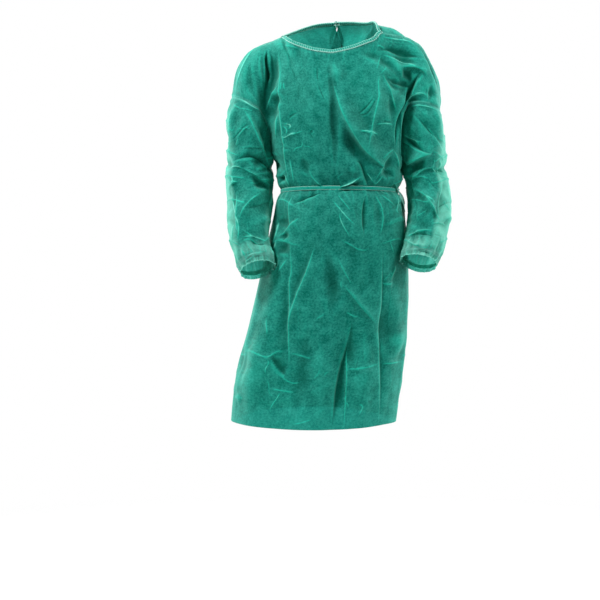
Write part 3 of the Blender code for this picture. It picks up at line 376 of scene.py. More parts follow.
LEFT_SIDE_CREASES = (
    # Sleeve and shoulder
    ("step", 6, -2.4, (52, -184), (16, -206), (-32, -196)),
    ("step", 6, 2.4, (54, -226), (12, -240), (-40, -252)),
    ("step", 8, 3.7, (48, -300), (6, -290), (-50, -312)),
    ("fold", 9, -5.6, (40, -330), (0, -324), (-62, -344)),
    ("ridge", 5, 2.4, (26, -366), (-20, -354), (-72, -376)),
    ("step", 6, -2.1, (-8, -426), (-48, -416), (-92, -440)),
    ("fold", 9, 3.7, (-20, -468), (-60, -456), (-104, -480)),
    ("ridge", 4, 1.9, (-38, -514), (-76, -506), (-112, -522)),
    ("ridge", 4, 2.2, (26, -110), (-2, -156), (4, -230)),
    # Skirt
    ("fold", 16, 3.3, (-40, -430), (-50, -580), (-38, -740), (-44, -985)),
    ("fold", 15, -3.3, (34, -425), (44, -560), (28, -720), (36, -985)),
    ("ridge", 4, 0.7, (-90, -786), (0, -792), (90, -784)),
    ("ridge", 4, 0.7, (-90, -528), (0, -534), (90, -526)),
)

# For each plane: its axis across, the way that it faces, and its creases.
Facing = namedtuple("Facing", "across direction creases")
FACINGS = (
    Facing(0, (0, -1, 0), FRONT_CREASES),
    Facing(0, (0, 1, 0), BACK_CREASES),
    Facing(1, (-1, 0, 0), RIGHT_SIDE_CREASES),
    Facing(1, (1, 0, 0), LEFT_SIDE_CREASES),
)

# How much of a crease, at each end, it takes to run out, and how many widths off it still tells.
CREASE_END = {"fold": 0.5, "gap": 0.3, "ridge": 0.4, "worn": 0.4, "step": 0.35}
CREASE_REACH = 3.4
# How round a sharp crest is, how fast a ridge falls away, and the two sides of a step.
CREST_ROUND = 0.05
RIDGE_FALL = 1.5
STEP_GENTLE, STEP_STEEP = 0.55, 2.4
# How far a crest's mark reaches from its line, how far the line is told, how plainly each kind
# shows, and a trough beside a crest. The mark paints a highlight along a crest, shade along a
# trough and a dark shadow down a gap.
CREST_REACH = 3.4
LINE_LIMIT = 9
CREST_SHOWS = {"ridge": 1.0, "step": 1.0, "worn": 2.0}
GAP_SHOWS = -2.6
TROUGH_SHOWS = -0.5
CRUMPLE_KINDS = ("ridge", "step", "worn")
# How strongly points are drawn in to a sharp crease's line, from how far and by how much at most.
DRAWN_IN = 0.8
DRAWN_FROM = 2.4
DRAWN_LIMIT = 1.1

# Short creases left by folding and wear, scattered over each piece.
Crumple = namedtuple("Crumple", "piece count height seed")
CRUMPLES = [
    Crumple("front_panel", 80, 0.9, 3),
    Crumple("back_panel_right", 55, 1.1, 5),
    Crumple("back_panel_left", 55, 1.1, 8),
    Crumple("sleeve_right", 70, 1.6, 11),
    Crumple("sleeve_left", 70, 1.6, 17),
]

# Flat-sided folds that cross each other all over a piece, and how far apart they run.
Facet = namedtuple("Facet", "piece count spacing height seed")
FACETS = [
    Facet("front_panel", 4, 130, 2.8, 101),
    Facet("front_panel", 3, 60, 0.8, 103),
    Facet("back_panel_right", 4, 115, 4.0, 107),
    Facet("back_panel_right", 3, 52, 1.2, 109),
    Facet("back_panel_left", 4, 115, 4.0, 113),
    Facet("back_panel_left", 3, 52, 1.2, 127),
    Facet("sleeve_right", 5, 84, 3.0, 131),
    Facet("sleeve_right", 4, 40, 1.3, 137),
    Facet("sleeve_left", 5, 84, 3.0, 139),
    Facet("sleeve_left", 4, 40, 1.3, 149),
]

# Soft dimples between the creases.
Dimple = namedtuple("Dimple", "piece count height width length seed")
DIMPLES = [
    Dimple("front_panel", 40, 1.3, 24, 60, 21),
    Dimple("back_panel_right", 26, 1.4, 24, 60, 23),
    Dimple("back_panel_left", 26, 1.4, 24, 60, 29),
    Dimple("sleeve_right", 22, 1.6, 18, 26, 31),
    Dimple("sleeve_left", 22, 1.6, 18, 26, 37),
]

# Pleats run out up and down from a gathered row: at the belt, the wrists and the neck.
Pleat = namedtuple("Pleat", "piece row spacing width height up down seed")
PLEATS = [
    Pleat("front_panel", BELT_ROW, 27, 5.0, 2.2, 24, 40, 41),
    Pleat("back_panel_right", BELT_ROW, 13, 4.5, 2.8, 26, 46, 43),
    Pleat("back_panel_left", BELT_ROW, 13, 4.5, 2.8, 26, 46, 47),
    Pleat("sleeve_right", 0, 11, 3.0, 3.2, 24, 10, 53),
    Pleat("sleeve_left", 0, 11, 3.0, 3.2, 24, 10, 59),
    Pleat("cuff_right", 0, 8, 2.2, 1.7, 40, 10, 61),
    Pleat("cuff_left", 0, 8, 2.2, 1.7, 40, 10, 67),
    Pleat("front_panel", NECK_ROW, 17, 3.6, 1.1, 10, 20, 71),
]
# How hard the belt presses the cloth in, over how much height, and how much it flattens there.
BELT_PRESS = 1.1
BELT_GROOVE = 7
BELT_FLATTENS = 0.75

# How widely the form is evened out to tell its hollows, in steps, and how deep a full one is,
# and the same for its sharp crests. Shade is painted in the hollows, and a highlight where the
# cloth stands out and on the sharp crests.
FORM_STEPS = 60
HOLLOW_DEPTH = 4.0
SHARP_STEPS = 2
SHARP_DEPTH = 0.3
# How plainly a piece's sewn edges show, where it isn't fully, and how wide that is.
SEAM_SHOWS = {"sleeve_left": 0.3, "front_panel": 0.6}
SEAM_BAND = 6
# The seam allowance: how far it stands off its edge, how wide it is, how deep its two sides lie
# under the cloth, and its width in the flat cut.
SEAM_TUCK = 0.7
SEAM_WIDTH = 6.0
SEAM_DEPTHS = (0.55, 0.75)
SEAM_CUT = 7.0
# The sizes of the soft patches that the seams, the crests' painted light, and the painted glow and
# see-through of the free cloth vary in.
SEAM_PATCH = 14
CREST_PATCH = 11
THIN_PATCH = 30

# Where the cloth hangs free, light from behind it shows through and its glow is painted paler.
# The sides of a sleeve hang free, more of them towards the wrist: -1 is right and 1 is left, with
# how far out it starts, how much nearer it does low down, and between which heights.
FreeSide = namedtuple("FreeSide", "side start spread high low")
FREE_SIDES = {
    "sleeve_right": (FreeSide(-1, 0.8, 0.25, -150, -480), FreeSide(1, 0.95, 0.2, -200, -420)),
    "sleeve_left": (FreeSide(1, 0.72, 0.55, -150, -480), FreeSide(-1, 1.0, 0.2, -200, -420)),
    "cuff_right": (FreeSide(-1, -0.3, 0.3, -460, -500),),
    "cuff_left": (FreeSide(1, -0.6, 0.3, -460, -500),),
}
# How far below the sleeve's seam that grows to full, and how far up from the wrist the gather gets
# it too.
FREE_START = 70
WRIST_GATHER = 38

# The strips folded over the neck's edge and for the belt: out of the cloth and up along it.
Profile = namedtuple("Profile", "out up")
BINDING = (
    Profile(0.9, -2.0), Profile(1.5, 0.8), Profile(1.6, 3.6), Profile(1.2, 5.8),
    Profile(-0.4, 7.0), Profile(-2.0, 5.8), Profile(-2.6, 3.6), Profile(-2.4, 0.8),
    Profile(-1.8, -2.0),
)
BELT = (
    Profile(1.2, -4.6), Profile(1.5, -3.5), Profile(1.5, 0.0), Profile(1.4, 3.5),
    Profile(0.9, 4.7), Profile(0.5, 3.5), Profile(0.5, 0.0), Profile(0.5, -3.5),
    Profile(0.6, -4.6),
)
BINDING_RIB = 5.5
# How far apart the points of the neck's edge, the belt and a free end are.
NECK_SPACING = 1.1
BELT_SPACING = 2.0
END_SPACING = 1.5
# The belt behind ends this far short of the overlap's edge.
CLEAR_OF_LAP = 12

# A flat tape's section: across in half widths and out in thicknesses.
TAPE_WIDTH = 9
TAPE_SECTION = (
    (1, 0.35), (0.92, 1), (0, 0.8), (-0.92, 1), (-1, 0.35),
    (-1, -0.35), (-0.92, -1), (0, -1.2), (0.92, -1), (1, -0.35),
)
# The knot's loop: each part's size and how many times it turns, across, up and out of its seat.
KNOT_ACROSS = ((2.5, 1), (4.0, 2))
KNOT_UP = ((2.3, 1), (-3.4, 2))
KNOT_OUT = ((1.7, 3),)
KNOT_POINTS = 90
KNOT_HALF_WIDTH = 2.5
KNOT_THICK = 0.9
KNOT_HALF_DEPTH = 4.2
KNOT_REACH = 10
KNOT_PALE = 0.55
# A free end opens to its full width over a length, and sways over another.
END_THICK = 0.5
END_OPENS = 22
END_SWAY = 13
# The free ends behind the neck, x and z of their points, and how far they hang out.
NECK_ENDS = (((9, 38), (15, 20), (17, 0), (16, -18)), ((-5, 39), (-11, 24), (-13, 6)))
NECK_END_OUT = 3.6
# The belt's free ends: packed columns past the knot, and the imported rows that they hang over.
WAIST_ENDS = ((0, (16, 15, 14)), (1, (16, 15)))
WAIST_END_OUT = 2.2

# The cloth's fine texture: its clouds, mottles, fibres, bond points and finest folds.
CLOUD_SIZE = 26
MOTTLE_SIZE = 5.5
FIBRE_TURNS = (0.35, -0.5, 1.2)
FIBRE_STRETCH = (0.1, 0.8, 1)
BOND_SPACING = 2.6
FINE_FOLDS = 17
# The marks that the cloth carries, and the masks that are made of them: painted highlights,
# painted shade and a painted shadow, and the worn creases, which are wear and painted glints.
MARKS = ("Crease", "Line", "Sharp", "Hollow")
MASKS = ("Crest", "Worn", "Trough", "Slit", "Proud")
# The painted shadow down in a slit, how plainly the worn creases' wear and painted glints and the
# troughs' painted shade show, and how the fibre shines.
SLIT_SHADOW = (0.0, 0.01, 0.007)
WORN_AND_GLINT_SHARE = 0.7
TROUGH_SHADE_SHARE = 0.8
SHEEN_ROUGHNESS = 0.45
FIBRE_SPECULAR = 0.09
FIBRE_IOR = 1.3
SHADE_SAMPLES = 6

# The camera stands at the photo's place, level with the waist.
CAMERA_PLACE = (-92.5, -3200, -655)
CAMERA_LENS = 76.8
SENSOR = 36.0
# The floor is full up to a distance and has run out at its edge.
FLOOR_HEIGHT = -1520
FLOOR_FULL = 700
FLOOR_RADIUS = 2600
Light = namedtuple("Light", "name place aim size watts")
LIGHTS = [
    Light("key softbox", (-1300, -1000, 1050), (0, 0, -280), 420, 70),
    Light("fill softbox", (1500, -950, 850), (0, 0, -300), 520, 40),
    Light("back softbox", (300, 2300, 500), (0, 0, -450), 1900, 40),
    Light("right side softbox", (-1900, 1000, -100), (0, 0, -400), 1300, 40),
    Light("left side softbox", (1900, 900, -100), (0, 0, -400), 1300, 46),
]


def ease(amount):
    amount = np.clip(amount, 0, 1)
    return amount * amount * (3 - 2 * amount)


def unit(vectors):
    return vectors / np.maximum(np.linalg.norm(vectors, axis=-1, keepdims=True), 1e-9)


def spline(count, factor, closed):
    """The matrix that turns evenly spaced knots into a smooth run, so many steps to a span."""
    system, pull = np.zeros((count, count)), np.zeros((count, count))
    for knot in range(count):
        if not closed and knot in (0, count - 1):
            system[knot, knot] = 1
            continue
        for near in ((knot - 1) % count, (knot + 1) % count):
            system[knot, near] += 1
            pull[knot, near] += 6
        system[knot, knot] += 4
        pull[knot, knot] -= 12
    bend = np.linalg.solve(system, pull)
    spans = count if closed else count - 1
    steps = np.arange(spans * factor + (0 if closed else 1))
    low = np.minimum(steps // factor, spans - 1)
    high = (low + 1) % count
    part = (steps / factor - low)[:, None]
    rest = 1 - part
    whole = np.eye(count)
    return (
        rest * whole[low] + part * whole[high]
        + (rest**3 - rest) / 6 * bend[low] + (part**3 - part) / 6 * bend[high]
    )


def smooth_path(points, factor=8):
    points = np.array(points, float)
    return points if len(points) < 3 else spline(len(points), factor, False) @ points


def lengths_along(path):
    return np.concatenate([[0.0], np.cumsum(np.linalg.norm(np.diff(path, axis=0), axis=1))])


def evenly(path, spacing, *others):
    """A path, and what goes with its points, read again at even distances."""
    along = lengths_along(path)
    marks = np.linspace(0, along[-1], max(int(along[-1] / spacing), 2) + 1)
    read = [
        np.stack([np.interp(marks, along, part[:, axis]) for axis in range(3)], 1)
        for part in (path, *others)
    ]
    return read[0] if not others else read


def read_wall(node):
    """A packed wall's points in millimetres, and the faces of its outer sheet."""
    mesh = bmesh.new()
    mesh.from_mesh(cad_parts[node].data)
    bmesh.ops.remove_doubles(mesh, verts=mesh.verts, dist=WELD)
    mesh.verts.index_update()
    points = np.array([vert.co for vert in mesh.verts]) / MM
    faces = [[vert.index for vert in face.verts] for face in mesh.faces]
    mesh.free()
    tree = KDTree(len(points))
    for index, point in enumerate(points):
        tree.insert(point, index)
    tree.balance()
    across = [
        {other for _, other, gap in tree.find_range(point, 1.1 * SOLID_WALL)
         if gap > 0.9 * SOLID_WALL}
        for point in points
    ]
    walls = [face for face in faces if not any(b in across[a] for a in face for b in face)]
    middle = points.mean(axis=0)
    best, outer = -math.inf, None
    for sheet in connected(walls):
        corners = points[np.array(sheet)]
        normals = np.cross(corners[:, 1] - corners[:, 0], corners[:, 2] - corners[:, 0])
        facing = ((corners.mean(axis=1) - middle) * normals).sum()
        if facing > best:
            best, outer = facing, sheet
    return points, outer


def connected(faces):
    """Faces gathered into sheets that share points."""
    at_point = {}
    for index, face in enumerate(faces):
        for point in face:
            at_point.setdefault(point, []).append(index)
    left, sheets = set(range(len(faces))), []
    while left:
        queue = [left.pop()]
        sheet = []
        while queue:
            index = queue.pop()
            sheet.append(faces[index])
            near = {other for point in faces[index] for other in at_point[point]} & left
            left -= near
            queue.extend(near)
        sheets.append(sheet)
    return sheets


def steps_from(start, links):
    """How many edges each point is from the starting ones."""
    reached = {point: 0 for point in start}
    queue = deque(start)
    while queue:
        point = queue.popleft()
        for other in links[point]:
            if other not in reached:
                reached[other] = reached[point] + 1
                queue.append(other)
    return reached


def links_of(faces):
    """Each point's neighbours, and its neighbours along the sheet's edge."""
    links, uses = {}, {}
    for face in faces:
        for a, b in zip(face, face[1:] + face[:1]):
            links.setdefault(a, set()).add(b)
            links.setdefault(b, set()).add(a)
            uses[frozenset((a, b))] = uses.get(frozenset((a, b)), 0) + 1
    edge_links = {}
    for pair, count in uses.items():
        if count == 1:
            a, b = pair
            edge_links.setdefault(a, []).append(b)
            edge_links.setdefault(b, []).append(a)
    return links, edge_links


def open_grid(points, faces):
    """Point numbers of an open sheet, from the hem up and from one side edge to the other."""
    links, edge_links = links_of(faces)
    hem = {point for point in edge_links if points[point][2] < NEAR_HEM}
    row_of = steps_from(hem, links)
    last = max(row_of.values())
    side = [min(hem, key=lambda point: points[point][0])]
    while len(side) <= last:
        ahead = [
            other for other in edge_links[side[-1]]
            if other not in side and (len(side) > 1 or other not in hem)
        ]
        side.append(ahead[0])
    column_of = steps_from(side, links)
    grid = np.full((last + 1, max(column_of.values()) + 1), -1)
    for point, row in row_of.items():
        grid[row, column_of[point]] = point
    return grid


def walk_ring(start, allowed, links):
    """Points round a ring, from one of them."""
    ring = [start]
    while True:
        ahead = [other for other in links[ring[-1]] if other in allowed and other not in ring]
        if not ahead:
            return ring
        ring.append(ahead[0])


def closed_grid(points, faces):
    """Point numbers of a tube, from its low end up and once round it."""
    links, edge_links = links_of(faces)
    first = walk_ring(next(iter(edge_links)), edge_links, edge_links)
    second = [point for point in edge_links if point not in first]
    top = max(first, second, key=lambda ring: points[ring][:, 2].mean())
    row_of = steps_from(top, links)
    rings = [walk_ring(min(top, key=lambda point: abs(points[point][0])), set(top), edge_links)]
    count = len(rings[0])
    for row in range(1, max(row_of.values()) + 1):
        here = {point for point, level in row_of.items() if level == row}
        ring = walk_ring(next(iter(here)), here, links)
        turns = [
            [ring[(start + way * step) % count] for step in range(count)]
            for start in range(count) for way in (1, -1)
        ]
        rings.append(min(
            (turn for turn in turns if all(b in links[a] for a, b in zip(rings[-1], turn))),
            key=lambda turn: np.linalg.norm(points[turn] - points[rings[-1]], axis=1).sum(),
        ))
    return np.array(rings[::-1])


def slopes(grid, closed):
    """How a grid of values changes across its columns and up its rows."""
    if closed:
        across = (np.roll(grid, -1, axis=1) - np.roll(grid, 1, axis=1)) / 2
    else:
        across = np.gradient(grid, axis=1)
    return across, np.gradient(grid, axis=0)


def field(place, cell, chance):
    """Soft random values from 0 to 1 over a plane, with cells of a size."""
    lattice = chance.uniform(0, 1, (64, 64))
    spot = place / cell + 32
    low = np.floor(spot).astype(int)
    part = ease(spot - low)
    across, up = part[..., 0], part[..., 1]
    column, row = low[..., 0] % 64, low[..., 1] % 64
    right, above = (column + 1) % 64, (row + 1) % 64
    return (
        (lattice[row, column] * (1 - across) + lattice[row, right] * across) * (1 - up)
        + (lattice[above, column] * (1 - across) + lattice[above, right] * across) * up
    )


class Cloth:
    """One piece's outer face as a fine grid in millimetres, and what is drawn on it."""

    def __init__(self, node):
        self.node = node
        self.closed = node in CLOSED
        points, faces = read_wall(node)
        grid = (closed_grid if self.closed else open_grid)(points, faces)
        knots = points[grid]
        outward = np.cross(
            points[[face[1] for face in faces]] - points[[face[0] for face in faces]],
            points[[face[2] for face in faces]] - points[[face[0] for face in faces]],
        )
        centres = np.array([points[face].mean(axis=0) for face in faces])
        across, up = slopes(knots, self.closed)
        test = np.cross(across, up).reshape(-1, 3)
        near = [np.linalg.norm(centres - knot, axis=1).argmin() for knot in knots.reshape(-1, 3)]
        if (test * outward[near]).sum() < 0:
            knots = knots[:, ::-1]
        self.detail = DETAIL[node]
        rise = spline(knots.shape[0], self.detail.rows, False)
        turn = spline(knots.shape[1], self.detail.columns, self.closed)
        self.base = np.einsum("ar,bc,rcx->abx", rise, turn, knots)
        self.across, self.up = (unit(part) for part in slopes(self.base, self.closed))
        self.normals = unit(np.cross(self.across, self.up))
        self.cut = self.cut_sizes()
        self.height = np.zeros(self.base.shape[:2])
        self.slide = np.zeros(self.base.shape)
        self.mark = np.zeros(self.base.shape[:2])
        self.line = np.full(self.base.shape[:2], float(LINE_LIMIT))
        self.hold, self.seam = self.sewn_edges()

    def cut_sizes(self):
        """Each point's place in the flat cut: across from the middle column, and up."""
        steps = np.linalg.norm(np.diff(self.base, axis=1), axis=2)
        along = np.pad(np.cumsum(steps, axis=1), ((0, 0), (1, 0)))
        along = along - along[:, along.shape[1] // 2][:, None]
        rises = np.linalg.norm(np.diff(self.base, axis=0), axis=2)
        up = np.pad(np.cumsum(rises, axis=0), ((1, 0), (0, 0)))
        return np.stack([along, up], axis=-1)

    def sewn_edges(self):
        """How freely each point moves near the sewn edges, and how near one it is."""
        sewn = SEWN[self.node]
        across, up = self.cut[..., 0], self.cut[..., 1]
        gaps = np.full(across.shape, 1e3)
        for is_sewn, gap in (
            (sewn.first, across - across[:, :1]), (sewn.last, across[:, -1:] - across),
            (sewn.bottom, up - up[:1]), (sewn.top, up[-1:] - up),
        ):
            if is_sewn:
                gaps = np.minimum(gaps, gap)
        uneven = 0.3 + 0.7 * field(self.cut, SEAM_PATCH, np.random.default_rng(9))
        uneven *= SEAM_SHOWS.get(self.node, 1)
        return ease(gaps / SEAM_EASE), ease(1.2 - gaps / SEAM_BAND) * uneven

    def draw(self, place, axes, weight, kind, width, height, path):
        """Raise or sink the cloth along a path drawn on a plane."""
        line = smooth_path(path)
        reach = CREASE_REACH * width
        near = (place > line.min(axis=0) - reach) & (place < line.max(axis=0) + reach)
        near = near.all(axis=-1) & (weight > 0.01)
        if not near.any():
            return
        spots = place[near]
        starts, runs = line[:-1], np.diff(line, axis=0)
        sizes = np.linalg.norm(runs, axis=1)
        part = ((spots[:, None] - starts) * runs).sum(axis=-1) / sizes**2
        part = np.clip(part, 0, 1)
        offsets = spots[:, None] - (starts + part[..., None] * runs)
        gaps = np.linalg.norm(offsets, axis=-1)
        pick = gaps.argmin(axis=1)
        rows = np.arange(len(pick))
        gap, offset, run = gaps[rows, pick], offsets[rows, pick], runs[pick]
        side = np.sign(run[:, 0] * offset[:, 1] - run[:, 1] * offset[:, 0])
        along = lengths_along(line)
        done = (along[pick] + part[rows, pick] * sizes[pick]) / along[-1]
        taper = ease(np.minimum(done, 1 - done) / CREASE_END[kind])
        spread = gap / width / (0.3 + 0.7 * taper)
        slope = np.sqrt(spread**2 + CREST_ROUND) - CREST_ROUND**0.5
        taper = taper * weight[near]
        if kind in ("fold", "gap"):
            shape = np.exp(-(spread**2))
        elif kind in ("ridge", "worn"):
            shape = np.exp(-RIDGE_FALL * slope)
        else:
            shape = np.exp(-slope * np.where(side > 0, STEP_GENTLE, STEP_STEEP))
        self.height[near] += height * taper * shape
        if kind == "fold":
            return
        # The mark is painted light: a highlight along a raised crest, shade along a sunk one, and
        # a dark shadow down a gap.
        strength = taper * np.exp(-((gap / CREST_REACH) ** 2))
        if kind == "gap":
            strength *= GAP_SHOWS
        else:
            patches = field(spots, CREST_PATCH, np.random.default_rng(len(spots)))
            strength *= 0.5 + 0.7 * patches
            strength *= CREST_SHOWS[kind] * min(1, 0.5 + abs(height) / 6)
            strength *= 1 if height > 0 else TROUGH_SHOWS
        mark, told = self.mark[near], np.clip(side * gap, -LINE_LIMIT, LINE_LIMIT)
        stronger = np.abs(strength) > np.abs(mark)
        self.mark[near] = np.where(stronger, strength, mark)
        self.line[near] = np.where(stronger, told, self.line[near])
        pull = -offset * (DRAWN_IN * taper * np.exp(-((gap / DRAWN_FROM) ** 2)))[:, None]
        self.slide[near] += np.einsum("ka,kax->kx", pull, axes[near])

    def draw_creases(self, scale):
        """The main creases, each on the parts that face its plane."""
        for across, direction, creases in FACINGS:
            weight = ease((self.normals @ np.array(direction) + 0.05) / 0.4)
            place = self.base[..., (across, 2)]
            axes = np.zeros((*place.shape, 3))
            axes[..., 0, across] = axes[..., 1, 2] = 1
            for kind, width, height, *path in creases:
                self.draw(place, axes, weight, kind, width, height * scale, path)

    def own(self, rows):
        """The rows of a table that are this piece's."""
        return [row for row in rows if row.piece == self.node]

    def draw_crumples(self, scale):
        """Short creases in the flat cut, scattered."""
        axes = np.stack([self.across, self.up], axis=2)
        weight = np.ones(self.height.shape)
        low, high = self.cut.min(axis=(0, 1)), self.cut.max(axis=(0, 1))
        for crumple in self.own(CRUMPLES):
            chance = np.random.default_rng(crumple.seed)
            for _ in range(crumple.count):
                spot = chance.uniform(low, high)
                heading, length = chance.uniform(0, math.tau), chance.uniform(18, 62)
                turns = heading + chance.normal(0, 0.4, 3)
                steps = np.stack([np.cos(turns), np.sin(turns)], axis=1) * length / 3
                path = spot + np.concatenate([np.zeros((1, 2)), np.cumsum(steps, axis=0)])
                height = chance.uniform(0.35, 1) * chance.choice((1, -1)) * crumple.height
                self.draw(self.cut, axes, weight, chance.choice(CRUMPLE_KINDS),
                          chance.uniform(2.6, 5), height * scale, path)

    def draw_facets(self, scale):
        """Flat-sided folds that cross, as a stiff thin cloth takes them."""
        for facet in self.own(FACETS):
            chance = np.random.default_rng(facet.seed)
            for heading in np.arange(facet.count) * math.pi / facet.count:
                heading = heading + chance.normal(0, 0.3)
                size = facet.spacing * chance.uniform(0.7, 1.5)
                run = self.cut @ np.array((math.cos(heading), math.sin(heading)))
                run = run / size + 0.9 * field(self.cut, 2.2 * size, chance)
                fold = np.abs((run + chance.uniform(0, 1)) % 1 - 0.5) * 2 - 0.5
                share = ease(1.6 * field(self.cut, 1.8 * size, chance) - 0.3)
                self.height += facet.height * scale * share * fold

    def draw_dimples(self):
        """Soft hollows and swellings, scattered."""
        low, high = self.cut.min(axis=(0, 1)), self.cut.max(axis=(0, 1))
        for dimple in self.own(DIMPLES):
            chance = np.random.default_rng(dimple.seed)
            for _ in range(dimple.count):
                gap = self.cut - chance.uniform(low, high)
                lean = chance.normal(0, 0.5)
                across = gap[..., 0] * math.cos(lean) - gap[..., 1] * math.sin(lean)
                up = gap[..., 0] * math.sin(lean) + gap[..., 1] * math.cos(lean)
                size = chance.uniform(0.6, 1.4)
                bump = np.exp(-((across / dimple.width / size) ** 2)
                              - (up / dimple.length / size) ** 2)
                self.height += chance.choice((1, -1)) * dimple.height * size * bump

    def draw_pleats(self, scale):
        """Pleats at each gathered row, and the belt's press on the cloth."""
        for pleat in self.own(PLEATS):
            chance = np.random.default_rng(pleat.seed)
            row = round(pleat.row * self.detail.rows)
            rise = self.cut[..., 1] - self.cut[row, :, 1]
            around = self.cut[row, :, 0]
            low, high = around.min(), around.max()
            count = max(int((high - low) / pleat.spacing), 3)
            spots = low + (np.arange(count) + chance.uniform(0.2, 0.8, count)) * pleat.spacing
            for spot in spots:
                lean, size = chance.normal(0, 0.2), chance.uniform(0.5, 1.1)
                gap = around + lean * rise - spot
                if self.closed:
                    whole = high - low
                    gap = (gap + whole / 2) % whole - whole / 2
                run = np.where(rise > 0, pleat.up, pleat.down) * chance.uniform(0.5, 1.5)
                shape = np.exp(-((gap / pleat.width / size) ** 2) - np.abs(rise) / run)
                self.height += pleat.height * size * scale * shape
            if pleat.row == BELT_ROW:
                press = np.exp(-((rise / BELT_GROOVE) ** 2))
                self.height = self.height * (1 - BELT_FLATTENS * press) - BELT_PRESS * press

    def points(self):
        """The surface with all that is drawn on it."""
        slide = self.slide - (self.slide * self.normals).sum(-1, keepdims=True) * self.normals
        size = np.linalg.norm(slide, axis=-1, keepdims=True)
        slide = slide * np.minimum(1, DRAWN_LIMIT / np.maximum(size, 1e-6))
        hold = self.hold[..., None]
        return self.base + (slide + self.normals * self.height[..., None]) * hold

    def stands_out(self, points, steps, depth):
        """How far each point stands out of the evened form, from -1 deep in to 1 proud."""
        form = points
        for _ in range(steps):
            for axis in (0, 1):
                if axis and self.closed:
                    low, high = np.roll(form, 1, axis=1), np.roll(form, -1, axis=1)
                else:
                    ends = [(1, 1) if part == axis else (0, 0) for part in range(3)]
                    wide = np.pad(form, ends, mode="reflect", reflect_type="odd")
                    low, high = (
                        (wide[:-2], wide[2:]) if axis == 0 else (wide[:, :-2], wide[:, 2:])
                    )
                form = (low + 2 * form + high) / 4
        proud = ((points - form) * self.normals).sum(axis=-1)
        return np.clip(proud / depth, -1, 1)

    def hanging_free_share(self):
        """Where a sleeve hangs free, at its sides, and light shows through, its glow painted
        paler.
        """
        share = np.zeros(self.base.shape[:2])
        if self.node not in FREE_SIDES:
            return share
        middle = self.base[..., 0].mean(axis=1, keepdims=True)
        reach = np.abs(self.base[..., 0] - middle).max(axis=1, keepdims=True)
        for free in FREE_SIDES[self.node]:
            out = free.side * (self.base[..., 0] - middle) / reach
            low = ease((free.high - self.base[..., 2]) / (free.high - free.low))
            share = np.maximum(share, ease((out - free.start + free.spread * low) / 0.3))
        if self.node in SLEEVES:
            share *= 0.25 + 0.75 * ease((self.cut[-1, :, 1] - self.cut[..., 1]) / FREE_START)
        share = np.maximum(share, 0.7 * ease(1.4 - self.cut[..., 1] / WRIST_GATHER))
        patches = field(self.cut, THIN_PATCH, np.random.default_rng(19))
        return share * (0.75 + 0.5 * (patches - 0.5))

    def along_row(self, row, columns):
        """The plain surface and its way out, on a packed row, between two packed columns."""
        at = row * self.detail.rows
        low, part = int(at), at - int(at)
        high = min(low + 1, len(self.base) - 1)
        picked = slice(columns[0] * self.detail.columns, columns[1] * self.detail.columns + 1)
        return [
            grid[low, picked] * (1 - part) + grid[high, picked] * part
            for grid in (self.base, self.normals)
        ]


CLOTHS = {}


def cloth_of(node):
    if node not in CLOTHS:
        CLOTHS[node] = Cloth(node)
    return CLOTHS[node]


def seam_strips(points, normals, sewn):
    """Narrow seam allowances that lie just inside the sewn edges."""
    strips = []
    for is_sewn, edge, inner, out in (
        (sewn.first, points[:, 0], points[:, 3], normals[:, 0]),
        (sewn.last, points[::-1, -1], points[::-1, -4], normals[::-1, -1]),
        (sewn.bottom, points[0, ::-1], points[3, ::-1], normals[0, ::-1]),
        (sewn.top, points[-1], points[-4], normals[-1]),
    ):
        if is_sewn:
            inward = unit(inner - edge)
            strips.append(np.stack([
                edge + inward * reach - out * depth
                for reach, depth in zip((-SEAM_TUCK, SEAM_WIDTH), SEAM_DEPTHS)
            ]))
    return strips


def numbered(shape, first=0):
    """A grid of point numbers, counted on from the first."""
    return first + np.arange(math.prod(shape)).reshape(shape)


def faces_of(number, closed=False):
    """The faces of a grid of numbered points, once round if it is closed."""
    right = np.roll(number, -1, axis=1) if closed else number[:, 1:]
    left = number if closed else number[:, :-1]
    return np.stack([left[:-1], right[:-1], right[1:], left[1:]], -1).reshape(-1, 4)


def strip_cut(along, across):
    """The flat cut of a strip's points, one run of its length after another."""
    return np.stack([np.tile(along, len(across)), np.repeat(across, len(along))], -1)


def add_cloth(node, look, finish):
    """Builds one piece of cloth in place of its packed wall, with its flat cut as its map."""
    cloth = cloth_of(node)
    cloth.draw_facets(look.facets)
    cloth.draw_dimples()
    cloth.draw_pleats(look.pleats)
    cloth.draw_creases(look.creases)
    cloth.draw_crumples(look.crumples)
    points = cloth.points()
    spots, cuts = [points.reshape(-1, 3)], [cloth.cut.reshape(-1, 2)]
    faces = [faces_of(numbered(points.shape[:2]), cloth.closed)]
    # Marks for the finish: the creases' painted light, the seams, how far each point stands out,
    # for painted highlights and shade, and where it hangs free, for painted light from behind.
    marks = {
        "crease": cloth.mark, "line": cloth.line, "seam": cloth.seam,
        "sharp": cloth.stands_out(points, SHARP_STEPS, SHARP_DEPTH),
        "hollow": cloth.stands_out(points, FORM_STEPS, HOLLOW_DEPTH), "thin": cloth.hanging_free_share(),
    }
    marks = {mark: [values.ravel()] for mark, values in marks.items()}
    for strip in seam_strips(points, cloth.normals, SEWN[node]):
        length = strip.shape[1]
        faces.append(faces_of(numbered((2, length), sum(map(len, spots))), cloth.closed))
        spots.append(strip.reshape(-1, 3))
        cuts.append(strip_cut(np.arange(length) * 2.0, (0.0, SEAM_CUT)))
        for mark, values in marks.items():
            values.append(np.full(2 * length, float(mark == "seam")))
    made = add_mesh(
        f"{node}_cloth", np.concatenate(spots), np.concatenate(faces).tolist(), finish,
        {mark: np.concatenate(values) for mark, values in marks.items()},
        np.concatenate(cuts),
    )
    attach(made, "root")
    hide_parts(node)
    return made


